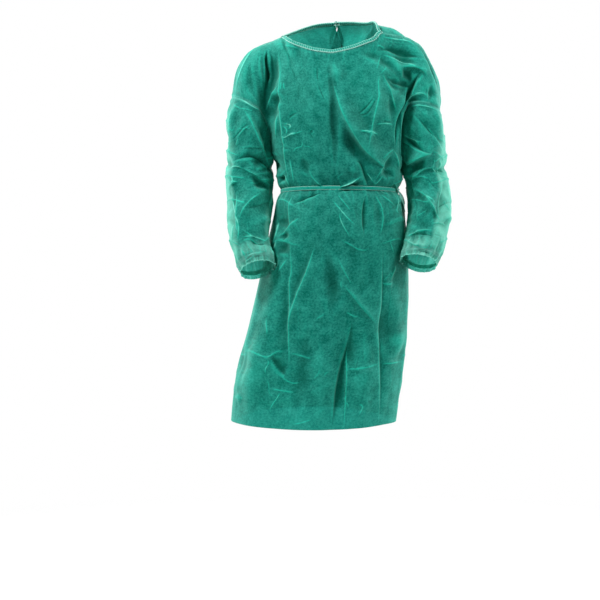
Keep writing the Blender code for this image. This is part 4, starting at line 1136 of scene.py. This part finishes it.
def add_mesh(name, points, faces, finish, marks, cut):
    """A smooth mesh from millimetre points, with its marks and its flat cut's map."""
    mesh = bpy.data.meshes.new(name)
    mesh.from_pydata((points * MM).tolist(), [], faces)
    for mark, values in marks.items():
        layer = mesh.attributes.new(mark, "FLOAT", "POINT")
        layer.data.foreach_set("value", values.astype(np.float32))
    around = mesh.uv_layers.new(name="cut")
    corners = np.empty(len(mesh.loops), np.int32)
    mesh.loops.foreach_get("vertex_index", corners)
    around.data.foreach_set("uv", (cut[corners] * MM).astype(np.float32).ravel())
    mesh.materials.append(finish)
    mesh.shade_smooth()
    mesh.validate()
    made = bpy.data.objects.new(name, mesh)
    bpy.context.scene.collection.objects.link(made)
    return made


def add_band(name, node, path, outs, ups, profile, finish, ribs=0.0):
    """A folded strip along a path, its profile standing on it."""
    along = lengths_along(path)
    rails, marks = [], []
    for step, (out, up) in enumerate(profile):
        turn = math.tau * (along / BINDING_RIB + step / len(profile))
        lift = ribs * np.sin(turn)[:, None]
        rails.append(path + outs * out + ups * up + outs * lift * np.sign(out))
        # Each rib's mark paints a highlight on its top and shade between the ribs.
        marks.append(np.sin(turn) * (1 if ribs else 0))
    rails = np.stack(rails)
    edges = np.zeros(rails.shape[:2])
    edges[[0, len(rails) // 2, -1]] = 1
    made = add_mesh(
        name, rails.reshape(-1, 3), faces_of(numbered(edges.shape)).tolist(), finish,
        {"crease": np.stack(marks).ravel(), "seam": edges.ravel()},
        strip_cut(along, lengths_along(np.array(profile, float))),
    )
    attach(made, "root")
    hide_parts(node)
    return made


def neck_path():
    """The neck's edge from the right back half round the front to the left back half."""
    stretches = [
        cloth_of(node).along_row(NECK_ROW, columns)
        for node, columns in (
            ("back_panel_right", RIGHT_NECK), ("front_panel", FRONT_NECK),
            ("back_panel_left", LEFT_NECK),
        )
    ]
    edge, outs = (np.concatenate(parts) for parts in zip(*stretches))
    edge, outs = evenly(edge, NECK_SPACING, outs)
    outs = unit(outs)
    ups = unit(np.cross(outs, unit(np.gradient(edge, axis=0))))
    ups *= np.sign((ups * (edge.mean(axis=0) - edge)).sum(axis=1, keepdims=True))
    return edge, outs, ups


def belt_path():
    """The belt's middle line: over the front from the right seam, round the back to that seam."""
    front, left, right = (
        cloth_of(node).along_row(BELT_ROW, columns)
        for node, columns in (
            ("front_panel", FRONT_WIDE), ("back_panel_left", BACK_WIDE),
            ("back_panel_right", BACK_WIDE),
        )
    )
    clear = right[0][:, 0] < left[0][-1, 0] - CLEAR_OF_LAP
    at_knot = lengths_along(front[0])[BELT_COLUMN * DETAIL["front_panel"].columns]
    path = np.concatenate([front[0], left[0][1:], right[0][clear]])
    outs = np.concatenate([front[1], left[1][1:], right[1][clear]])
    outs[:, 2] = 0
    return path, unit(outs), at_knot


def stretch_of(path, outs, start, end):
    """A stretch of a path between two lengths along it, softened as a pulled tape is."""
    path, outs = evenly(path, BELT_SPACING, outs)
    along = lengths_along(path)
    picked = (along >= start) & (along <= end)
    path, outs = path[picked], outs[picked]
    for _ in range(3):
        path[1:-1] = (path[:-2] + 2 * path[1:-1] + path[2:]) / 4
        outs[1:-1] = (outs[:-2] + 2 * outs[1:-1] + outs[2:]) / 4
    return path, unit(outs)


def add_strand(path, outs, widths, thick):
    """Rails of a flat tape along a path: its half width and thickness at each point."""
    ahead = unit(np.gradient(path, axis=0))
    across = unit(np.cross(ahead, outs))
    up = np.cross(across, ahead)
    return np.stack([
        path + across * (widths * side)[:, None] + up * thick * level
        for side, level in TAPE_SECTION
    ])


def add_knot(name, node, seat, out, ends, finish):
    """A pulled knot of flat tape on its seat, with its free ends."""
    out = unit(np.array(out, float))
    side = unit(np.cross(out, (0, 0, 1)))
    rise = np.cross(side, out)
    centre = seat + out * KNOT_HALF_DEPTH
    turn = np.linspace(0, math.tau, KNOT_POINTS)
    loop = (
        centre
        + np.outer(sum(size * np.sin(turns * turn) for size, turns in KNOT_ACROSS), side)
        + np.outer(sum(size * np.cos(turns * turn) for size, turns in KNOT_UP), rise)
        + np.outer(sum(size * np.sin(turns * turn) for size, turns in KNOT_OUT), out)
    )
    facing = unit(loop - centre + out * 3)
    strands = [(loop, facing, np.full(len(turn), KNOT_HALF_WIDTH), KNOT_THICK)]
    for end in ends:
        path = evenly(smooth_path([centre, *end]), END_SPACING)
        along = lengths_along(path)
        widths = TAPE_WIDTH / 2 * (0.5 + 0.5 * ease(along / END_OPENS))
        sway = 0.5 * np.sin(along / END_SWAY)
        outs = unit(np.tile(out, (len(path), 1)) + np.outer(sway, side))
        strands.append((path, outs, widths, END_THICK))
    spots, faces, cuts = [], [], []
    for path, outs, widths, thick in strands:
        rails = add_strand(path, outs, widths, thick)
        number = numbered(rails.shape[:2], sum(map(len, spots)))
        faces += faces_of(np.vstack([number, number[:1]])).tolist()
        faces += [number[:, 0].tolist(), number[::-1, -1].tolist()]
        spots.append(rails.reshape(-1, 3))
        cuts.append(strip_cut(lengths_along(path), np.arange(len(rails))))
    spots = np.concatenate(spots)
    made = add_mesh(name, spots, faces, finish, {"seam": np.full(len(spots), KNOT_PALE)},
                    np.concatenate(cuts))
    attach(made, "root")
    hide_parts(node)
    return made


def on_back(x, z, out):
    """A point just over the back, seen straight on."""
    backs = []
    for node in ("back_panel_left", "back_panel_right"):
        base = cloth_of(node).base
        gaps = (base[..., 0] - x) ** 2 + (base[..., 2] - z) ** 2
        backs.append(base[np.unravel_index(gaps.argmin(), gaps.shape)][1])
    return np.array((x, max(backs) + out, z), float)


# Finishes.

def new_group(name, inputs, outputs):
    group = bpy.data.node_groups.new(name, "ShaderNodeTree")
    for socket, kind in inputs:
        group.interface.new_socket(socket, in_out="INPUT", socket_type=kind)
    for socket, kind in outputs:
        group.interface.new_socket(socket, in_out="OUTPUT", socket_type=kind)
    return group, group.nodes.new("NodeGroupInput"), group.nodes.new("NodeGroupOutput")


def add_node(tree, kind, inputs=None, **settings):
    """A node with its settings, and each input given a value or joined to a socket."""
    node = tree.nodes.new(kind)
    for name, value in settings.items():
        setattr(node, name, value)
    for name, value in (inputs or {}).items():
        if isinstance(value, bpy.types.NodeSocket):
            tree.links.new(value, node.inputs[name])
        else:
            node.inputs[name].default_value = value
    return node


def math_node(tree, operation, first, second=0.0, clamp=False):
    return add_node(tree, "ShaderNodeMath", {0: first, 1: second},
                    operation=operation, use_clamp=clamp).outputs[0]


def sums(tree):
    """Plus, minus and times for one tree's values, each from 0 to 1 if it is clamped."""
    return [partial(math_node, tree, operation) for operation in ("ADD", "SUBTRACT", "MULTIPLY")]


def share_of(tree, value, none, full, **settings):
    """From 0 at one value to 1 at another."""
    return add_node(tree, "ShaderNodeMapRange",
                    {"Value": value, "From Min": none, "From Max": full}, **settings).outputs[0]


def blend(tree, amount, first, second):
    """One colour into another by a mask."""
    return add_node(tree, "ShaderNodeMix", {0: amount, 6: first, 7: second},
                    data_type="RGBA").outputs[2]


def noise(tree, vector, size, detail=3.0, roughness=0.55):
    """Soft noise with clouds of a size in millimetres."""
    return add_node(
        tree, "ShaderNodeTexNoise",
        {"Vector": vector, "Scale": 1 / size, "Detail": detail, "Roughness": roughness},
    ).outputs["Fac"]


def fibre_group():
    """Fibres, clouds and bond points of the non-woven cloth, from its flat cut's map."""
    group, given, result = new_group(
        "nonwoven fibres",
        [("Map", "NodeSocketVector"), ("Relief", "NodeSocketFloat")],
        [("Density", "NodeSocketFloat"), ("Normal", "NodeSocketVector")],
    )
    plus, minus, times = sums(group)
    flat = add_node(group, "ShaderNodeVectorMath", {0: given.outputs["Map"], "Scale": 1 / MM},
                    operation="SCALE").outputs[0]
    clouds = noise(group, flat, CLOUD_SIZE, 3)
    mottles = noise(group, flat, MOTTLE_SIZE, 4, 0.75)
    strands = []
    for turn in FIBRE_TURNS:
        run = add_node(group, "ShaderNodeMapping",
                       {"Vector": flat, "Rotation": (0, 0, turn), "Scale": FIBRE_STRETCH})
        strands.append(noise(group, run.outputs[0], 1.0, 3, 0.6))
    fibres = math_node(group, "MAXIMUM", math_node(group, "MAXIMUM", *strands[:2]), strands[2])
    dots = add_node(group, "ShaderNodeTexVoronoi",
                    {"Vector": flat, "Scale": 1 / BOND_SPACING, "Randomness": 0.0})
    bonds = share_of(group, dots.outputs["Distance"], 0.34, 0.2)
    density = plus(times(clouds, 0.4), plus(times(mottles, 0.65), times(fibres, 0.35)))
    folds = math_node(group, "ABSOLUTE", minus(noise(group, flat, FINE_FOLDS, 3, 0.5), 0.5))
    relief = minus(plus(times(mottles, 0.35), times(fibres, 0.16)),
                   plus(times(bonds, 0.07), times(folds, 0.55)))
    bump = add_node(group, "ShaderNodeBump", {
        "Height": times(relief, given.outputs["Relief"]), "Distance": MM, "Strength": 1.0,
    })
    group.links.new(share_of(group, density, 0.6, 0.9), result.inputs["Density"])
    group.links.new(bump.outputs[0], result.inputs["Normal"])
    return group


def mark_group():
    """Masks from the cloth's own marks: painted highlights on the crests and where it stands out,
    painted shade in the troughs and hollows, a painted shadow in slits, and worn creases' wear and
    painted glints.
    """
    group, given, result = new_group(
        "crease marks",
        [(mark, "NodeSocketFloat") for mark in MARKS],
        [(mask, "NodeSocketFloat") for mask in MASKS],
    )
    plus, minus, times = sums(group)
    crease, sharp, hollow = (given.outputs[mark] for mark in ("Crease", "Sharp", "Hollow"))
    far = math_node(group, "POWER", math_node(group, "ABSOLUTE", given.outputs["Line"]), 2.0)
    narrow, broad = (math_node(group, "EXPONENT", times(far, fall)) for fall in (-0.5, -0.16))
    down = times(crease, -1.0)
    masks = (
        plus(times(times(crease, 1.0, True), narrow), times(times(sharp, 1.0, True), 0.35), True),
        times(minus(crease, 0.8, True), narrow),
        plus(times(times(down, 1.0, True), narrow), times(times(hollow, -1.0, True), 0.85), True),
        times(minus(down, 0.8, True), broad),
        times(hollow, 1.0, True),
    )
    for mask, socket in zip(MASKS, masks):
        group.links.new(socket, result.inputs[mask])
    return group


def read_mark(tree, mark):
    return add_node(tree, "ShaderNodeAttribute", attribute_name=mark).outputs["Fac"]


def four(color):
    return (*color, 1.0)


def cloth_finish(name, look):
    """Thin non-woven cloth that light comes through."""
    if name in bpy.data.materials:
        return bpy.data.materials[name]
    finish = bpy.data.materials.new(name)
    finish.use_nodes = True
    tree = finish.node_tree
    tree.nodes.clear()
    fibres = bpy.data.node_groups.get("nonwoven fibres") or fibre_group()
    marks = bpy.data.node_groups.get("crease marks") or mark_group()
    plus, minus, times = sums(tree)
    cut = add_node(tree, "ShaderNodeUVMap", uv_map="cut")
    web = add_node(tree, "ShaderNodeGroup", {"Map": cut.outputs[0], "Relief": look.relief},
                   node_tree=fibres)
    drawn = add_node(tree, "ShaderNodeGroup",
                     {mark: read_mark(tree, mark.lower()) for mark in MARKS}, node_tree=marks)
    crest_highlight, worn, trough_shade, slit_shadow, proud = (drawn.outputs[mask] for mask in MASKS)
    # Seen edge on, the cloth is more solid and a painted sheen makes it paler, and its free sides
    # let more light by and get painted paler, as a glow of light from behind.
    angle = add_node(tree, "ShaderNodeLayerWeight", {"Blend": 0.45}).outputs["Facing"]
    thin = times(read_mark(tree, "thin"), plus(times(angle, 1.8), 0.3, True))
    density, normal = web.outputs["Density"], web.outputs["Normal"]
    milky = plus(
        plus(times(read_mark(tree, "seam"), look.seam), times(worn, WORN_AND_GLINT_SHARE)),
        times(math_node(tree, "POWER", angle, 2.0), look.edge), True,
    )
    open_sky = add_node(tree, "ShaderNodeAmbientOcclusion", {"Distance": look.shade_reach},
                        samples=SHADE_SAMPLES).outputs["AO"]
    # Over the cloth's colour: paler clouds and a painted highlight where it stands out, a painted
    # glow where it hangs free, painted highlights on the crests, painted shade in the troughs, the
    # milky seams, worn creases with painted glints and a painted edge sheen, painted shade where
    # folds and pieces hem it in, and a painted shadow down the slits.
    color = four(look.color)
    for amount, paint in (
        (plus(times(density, look.mottle), times(proud, look.proud), True), look.pale),
        (times(thin, look.thin), look.free),
        (times(crest_highlight, look.crest_highlight), look.bright),
        (times(trough_shade, TROUGH_SHADE_SHARE), look.deep),
        (milky, look.milky),
        (times(minus(1.0, open_sky, True), look.shade, True), look.deep),
        (slit_shadow, SLIT_SHADOW),
    ):
        color = blend(tree, amount, color, four(paint))
    body = add_node(tree, "ShaderNodeBsdfPrincipled", {
        "Base Color": color, "Normal": normal, "Roughness": look.roughness,
        "Sheen Weight": look.sheen, "Sheen Roughness": SHEEN_ROUGHNESS,
        "Sheen Tint": four(look.pale), "Specular IOR Level": FIBRE_SPECULAR, "IOR": FIBRE_IOR,
    })
    through = add_node(tree, "ShaderNodeBsdfTranslucent", {"Color": color, "Normal": normal})
    lit = add_node(tree, "ShaderNodeMixShader",
                   {0: look.light_through, 1: body.outputs[0], 2: through.outputs[0]})
    clear = add_node(tree, "ShaderNodeBsdfTransparent", {"Color": four(look.tint)})
    solid = plus(plus(look.cover, times(density, look.cloud)),
                 minus(times(angle, look.edge_cover), times(thin, look.thin_cover)), True)
    whole = add_node(tree, "ShaderNodeMixShader",
                     {0: solid, 1: clear.outputs[0], 2: lit.outputs[0]})
    end = add_node(tree, "ShaderNodeOutputMaterial")
    tree.links.new(whole.outputs[0], end.inputs["Surface"])
    return finish


def floor_finish(color):
    """A plain pale floor that runs out softly into the white room."""
    finish = bpy.data.materials.new("pale floor")
    finish.use_nodes = True
    tree = finish.node_tree
    body = tree.nodes["Principled BSDF"]
    body.inputs["Base Color"].default_value = four(color)
    body.inputs["Roughness"].default_value = 0.8
    place = add_node(tree, "ShaderNodeNewGeometry").outputs["Position"]
    away = add_node(tree, "ShaderNodeVectorMath", {0: place, 1: (0, 0, FLOOR_HEIGHT * MM)},
                    operation="DISTANCE").outputs["Value"]
    share = share_of(tree, away, FLOOR_RADIUS * MM, FLOOR_FULL * MM,
                     interpolation_type="SMOOTHSTEP")
    clear = add_node(tree, "ShaderNodeBsdfTransparent")
    both = add_node(tree, "ShaderNodeMixShader",
                    {0: share, 1: clear.outputs[0], 2: body.outputs[0]})
    tree.links.new(both.outputs[0], tree.nodes["Material Output"].inputs["Surface"])
    return finish


def color_property(name, description, default):
    return bpy.props.FloatVectorProperty(
        name=name, description=description, default=default, size=3, subtype="COLOR",
        min=0.0, max=1.0,
    )


def share_property(name, description, default):
    return bpy.props.FloatProperty(
        name=name, description=description, default=default, min=0.0, max=1.0,
        subtype="FACTOR",
    )


def scale_property(name, description, default=1.0):
    return bpy.props.FloatProperty(name=name, description=description, default=default,
                                   min=0.0, max=3.0)


def length_property(name, description, default):
    return bpy.props.FloatProperty(name=name, description=description, default=default,
                                   unit="LENGTH")


class GownCloth(bpy.types.PropertyGroup):
    color: color_property("Cloth", "Colour of the non-woven cloth", (0.0, 0.122, 0.094))
    # Besides its own colour, clouds, seams and wear: the clouds' colour is also painted as a
    # highlight where it stands out, the crests' colour is a painted highlight, the deep colour is
    # painted shade, the milky colour is also painted glints and a painted sheen seen edge on, and
    # the free colour is a painted glow of light from behind.
    pale: color_property("Clouds", "Colour of its paler clouds", (0.05, 0.47, 0.375))
    bright: color_property("Crests", "Colour of its sharp crests", (0.02, 0.56, 0.41))
    deep: color_property("Deep", "Colour down in its creases", (0.0, 0.06, 0.042))
    milky: color_property("Milky", "Colour of its edges and worn creases", (0.24, 0.8, 0.65))
    free: color_property("Free", "Colour where it hangs free of the wearer", (0.32, 0.86, 0.71))
    tint: color_property("Tint", "Colour of the light that passes straight through",
                         (0.04, 0.62, 0.49))
    mottle: share_property("Mottle", "How much paler the clouds are", 0.55)
    # The crest, proud and edge shares set painted highlights and a painted sheen, the free share a
    # painted glow of light from behind.
    crest_highlight: share_property("Crest share", "How bright the sharp crests are", 0.75)
    proud: share_property("Proud", "How much paler the cloth is where it stands out", 0.18)
    edge: share_property("Edge", "How much paler it is seen edge on", 0.42)
    thin: share_property("Free share", "How bright it is where it hangs free", 0.92)
    thin_cover: share_property("Free cover", "How much less solid it is there", 0.36)
    # The worn creases are paler from wear and from painted glints.
    seam: share_property("Seams", "How milky the seams and worn creases are", 0.36)
    shade: share_property("Shade", "How dark it is down between folds and pieces", 0.95)
    shade_reach: length_property("Shade reach", "How far off another fold still shades it",
                                 0.03)
    roughness: share_property("Roughness", "How dull the cloth is", 0.55)
    sheen: share_property("Sheen", "How much the fibres catch the light", 0.05)
    light_through: share_property("Light through", "Share of light that comes through", 0.3)
    cover: share_property("Cover", "How solid the cloth is", 0.84)
    cloud: share_property("Clouds", "How much more solid its clouds are", 0.1)
    edge_cover: share_property("Edge cover", "How much more solid it is seen edge on", 0.1)
    relief: scale_property("Relief", "Depth of the fine relief")
    creases: scale_property("Creases", "Depth of the main creases", 1.3)
    facets: scale_property("Facets", "Depth of the flat-sided folds")
    pleats: scale_property("Pleats", "Depth of the pleats at the gathers")
    crumples: scale_property("Crumples", "Depth of the short creases")


class GownTape(bpy.types.PropertyGroup):
    color: color_property("Tape", "Colour of the belt and the neck binding", (0.0, 0.27, 0.205))
    pale: color_property("Clouds", "Colour of its paler clouds", (0.12, 0.52, 0.42))
    # The ribs' colour is a painted highlight on each rib and the tape shade colour is painted
    # shade between them; the tape edge colour is also a painted sheen seen edge on.
    bright: color_property("Ribs", "Colour of its ribs", (0.3, 0.7, 0.59))
    milky: color_property("Tape edge", "Colour of the tape's folded edges", (0.5, 0.84, 0.74))
    deep: color_property("Tape shade", "Colour between its ribs", (0.0, 0.16, 0.12))
    free: color_property("Free", "Colour where it hangs free", (0.2, 0.6, 0.5))
    tint: color_property("Tint", "Colour of the light that passes straight through",
                         (0.3, 0.84, 0.7))
    mottle: share_property("Mottle", "How much paler its clouds are", 0.3)
    # The ribs' share sets their painted highlight, the proud share a painted highlight, and the
    # edge share a painted sheen.
    crest_highlight: share_property("Ribs", "How much paler its ribs are", 0.5)
    proud: share_property("Proud", "How much paler it is where it stands out", 0.2)
    edge: share_property("Edge", "How much paler it is seen edge on", 0.2)
    thin: share_property("Free share", "How bright it is where it hangs free", 0.5)
    thin_cover: share_property("Free cover", "How much less solid it is there", 0.1)
    seam: share_property("Edges", "How much paler its edges are", 0.75)
    shade: share_property("Shade", "How dark it is down between folds and pieces", 0.3)
    shade_reach: length_property("Shade reach", "How far off another fold still shades it",
                                 0.01)
    roughness: share_property("Roughness", "How dull the tape is", 0.5)
    sheen: share_property("Sheen", "How much the fibres catch the light", 0.2)
    light_through: share_property("Light through", "Share of light that comes through", 0.25)
    cover: share_property("Cover", "How solid the tape is", 0.95)
    cloud: share_property("Clouds", "How much more solid its clouds are", 0.05)
    edge_cover: share_property("Edge cover", "How much more solid it is seen edge on", 0.05)
    relief: scale_property("Relief", "Depth of the fine relief")
    rib: length_property("Rib height", "Height of the binding's ribs", 0.0005)


class GownStage(bpy.types.PropertyGroup):
    floor: color_property("Floor", "Colour of the plain floor", (0.94, 0.95, 0.95))
    light: scale_property("Light", "Strength of the softboxes")
    sky: scale_property("Room light", "Strength of the room's light", 0.22)


def add_pieces(context, nodes):
    look = context.scene.gown_cloth
    for node in nodes:
        add_cloth(node, look, cloth_finish("nonwoven green", look))


class GOWN_OT_panels(bpy.types.Operator):
    """Builds the front and the two back halves"""

    bl_idname = "gown.panels"
    bl_label = "Front and back"

    def execute(self, context):
        add_pieces(context, PANELS)
        return {"FINISHED"}


class GOWN_OT_sleeves(bpy.types.Operator):
    """Builds the two sleeves"""

    bl_idname = "gown.sleeves"
    bl_label = "Sleeves"

    def execute(self, context):
        add_pieces(context, SLEEVES)
        return {"FINISHED"}


class GOWN_OT_cuffs(bpy.types.Operator):
    """Builds the two gathered cuffs"""

    bl_idname = "gown.cuffs"
    bl_label = "Cuffs"

    def execute(self, context):
        add_pieces(context, CUFFS)
        return {"FINISHED"}


class GOWN_OT_neck(bpy.types.Operator):
    """Builds the neck's binding and the knot behind it"""

    bl_idname = "gown.neck"
    bl_label = "Neck binding"

    def execute(self, context):
        look = context.scene.gown_tape
        finish = cloth_finish("binding green", look)
        edge, outs, ups = neck_path()
        left, right = cloth_of("back_panel_left"), cloth_of("back_panel_right")
        seat = (left.base[-1, -1] + right.base[-1, 0]) / 2
        out = left.normals[-1, -1] + right.normals[-1, 0]
        ends = [[on_back(x, z, NECK_END_OUT) for x, z in end] for end in NECK_ENDS]
        knot = add_knot("neck_knot_tape", "neck_knot", seat, out, ends, finish)
        add_band("neck_binding_strip", "neck_binding", edge, outs, ups, BINDING, finish,
                 look.rib / MM)
        return {"FINISHED"}


class GOWN_OT_belt(bpy.types.Operator):
    """Builds the two belt tapes and their knot"""

    bl_idname = "gown.belt"
    bl_label = "Belt"

    def execute(self, context):
        look = context.scene.gown_tape
        finish = cloth_finish("tape green", look)
        path, outs, at_knot = belt_path()
        whole = lengths_along(path)[-1]
        cloth = cloth_of("front_panel")
        point, out = cloth.along_row(BELT_ROW, (BELT_COLUMN, BELT_COLUMN + 1))
        ends = []
        for past, rows in WAIST_ENDS:
            column = (BELT_COLUMN + past) * cloth.detail.columns
            rows = np.array(rows) * cloth.detail.rows
            ends.append(cloth.base[rows, column] + cloth.normals[rows, column] * WAIST_END_OUT)
        knot = add_knot("waist_knot_tape", "waist_knot", point[0], out[0], ends, finish)
        for node, start, end, knots in (
            ("waist_tie_right", 1, at_knot - KNOT_REACH, []),
            ("waist_tie_left", at_knot + KNOT_REACH, whole - 1, [knot]),
        ):
            line, faces_out = stretch_of(path, outs, start, end)
            ups = unit(np.cross(faces_out, unit(np.gradient(line, axis=0))))
            ups *= np.sign(ups[:, 2:])
            add_band(f"{node}_tape", node, line, faces_out, ups, BELT, finish)
        return {"FINISHED"}


def add_floor(color):
    """A round floor that belongs to the stage."""
    bpy.ops.mesh.primitive_circle_add(vertices=96, radius=FLOOR_RADIUS * MM, fill_type="NGON",
                                      location=(0, 0, FLOOR_HEIGHT * MM))
    floor = bpy.context.object
    floor.name = "plain floor"
    floor.data.materials.append(floor_finish(color))


def add_light(light, strength):
    """A square softbox that is aimed at a point."""
    lamp = bpy.data.lights.new(light.name, "AREA")
    lamp.size = light.size * MM
    lamp.energy = light.watts * strength
    made = bpy.data.objects.new(light.name, lamp)
    place, aim = Vector(light.place) * MM, Vector(light.aim) * MM
    made.location = place
    made.rotation_euler = (aim - place).to_track_quat("-Z", "Y").to_euler()
    bpy.context.scene.collection.objects.link(made)


def add_camera(scene):
    """The camera, level, and the plain colour view that it is seen in."""
    camera = bpy.data.cameras.new("photo camera")
    camera.lens, camera.sensor_width = CAMERA_LENS, SENSOR
    stand = bpy.data.objects.new("photo camera", camera)
    stand.location = Vector(CAMERA_PLACE) * MM
    stand.rotation_euler = (math.pi / 2, 0, 0)
    scene.collection.objects.link(stand)
    scene.camera = stand
    scene.view_settings.view_transform = "Standard"


def white_room(strength):
    """A room that is seen as plain white and lights softly."""
    room = bpy.data.worlds.new("white room")
    room.use_nodes = True
    tree = room.node_tree
    tree.nodes.clear()
    seen = add_node(tree, "ShaderNodeLightPath").outputs["Is Camera Ray"]
    soft, plain = (
        add_node(tree, "ShaderNodeBackground", {"Color": (1, 1, 1, 1), "Strength": bright})
        for bright in (strength, 1.0)
    )
    both = add_node(tree, "ShaderNodeMixShader",
                    {0: seen, 1: soft.outputs[0], 2: plain.outputs[0]})
    end = add_node(tree, "ShaderNodeOutputWorld")
    tree.links.new(both.outputs[0], end.inputs["Surface"])
    return room


class GOWN_OT_stage(bpy.types.Operator):
    """Sets the floor, the soft lights and the camera"""

    bl_idname = "gown.stage"
    bl_label = "Stage"

    def execute(self, context):
        look = context.scene.gown_stage
        add_floor(look.floor)
        for light in LIGHTS:
            add_light(light, look.light)
        add_camera(context.scene)
        context.scene.world = white_room(look.sky)
        return {"FINISHED"}


class GOWN_PT_panel(bpy.types.Panel):
    """Lists the gown's sizes and its building steps"""

    bl_idname = "GOWN_PT_panel"
    bl_label = "Protective gown"
    bl_space_type = "VIEW_3D"
    bl_region_type = "UI"
    bl_category = "Gown"

    def draw(self, context):
        for title, group in (("Cloth", context.scene.gown_cloth),
                             ("Tapes", context.scene.gown_tape),
                             ("Stage", context.scene.gown_stage)):
            box = self.layout.box()
            box.label(text=title)
            for name in group.__annotations__:
                box.prop(group, name)
        for step in STEPS:
            self.layout.operator(step.bl_idname)


STEPS = (GOWN_OT_panels, GOWN_OT_sleeves, GOWN_OT_cuffs, GOWN_OT_neck, GOWN_OT_belt,
         GOWN_OT_stage)
GROUPS = {"gown_cloth": GownCloth, "gown_tape": GownTape, "gown_stage": GownStage}


def register():
    for part in (*GROUPS.values(), *STEPS, GOWN_PT_panel):
        bpy.utils.register_class(part)
    for name, group in GROUPS.items():
        setattr(bpy.types.Scene, name, bpy.props.PointerProperty(type=group))


def unregister():
    for name in GROUPS:
        delattr(bpy.types.Scene, name)
    for part in reversed((*GROUPS.values(), *STEPS, GOWN_PT_panel)):
        bpy.utils.unregister_class(part)


def main():
    register()
    for step in (bpy.ops.gown.panels, bpy.ops.gown.sleeves, bpy.ops.gown.cuffs,
                 bpy.ops.gown.neck, bpy.ops.gown.belt, bpy.ops.gown.stage):
        step()


if __name__ == "__main__":
    main()
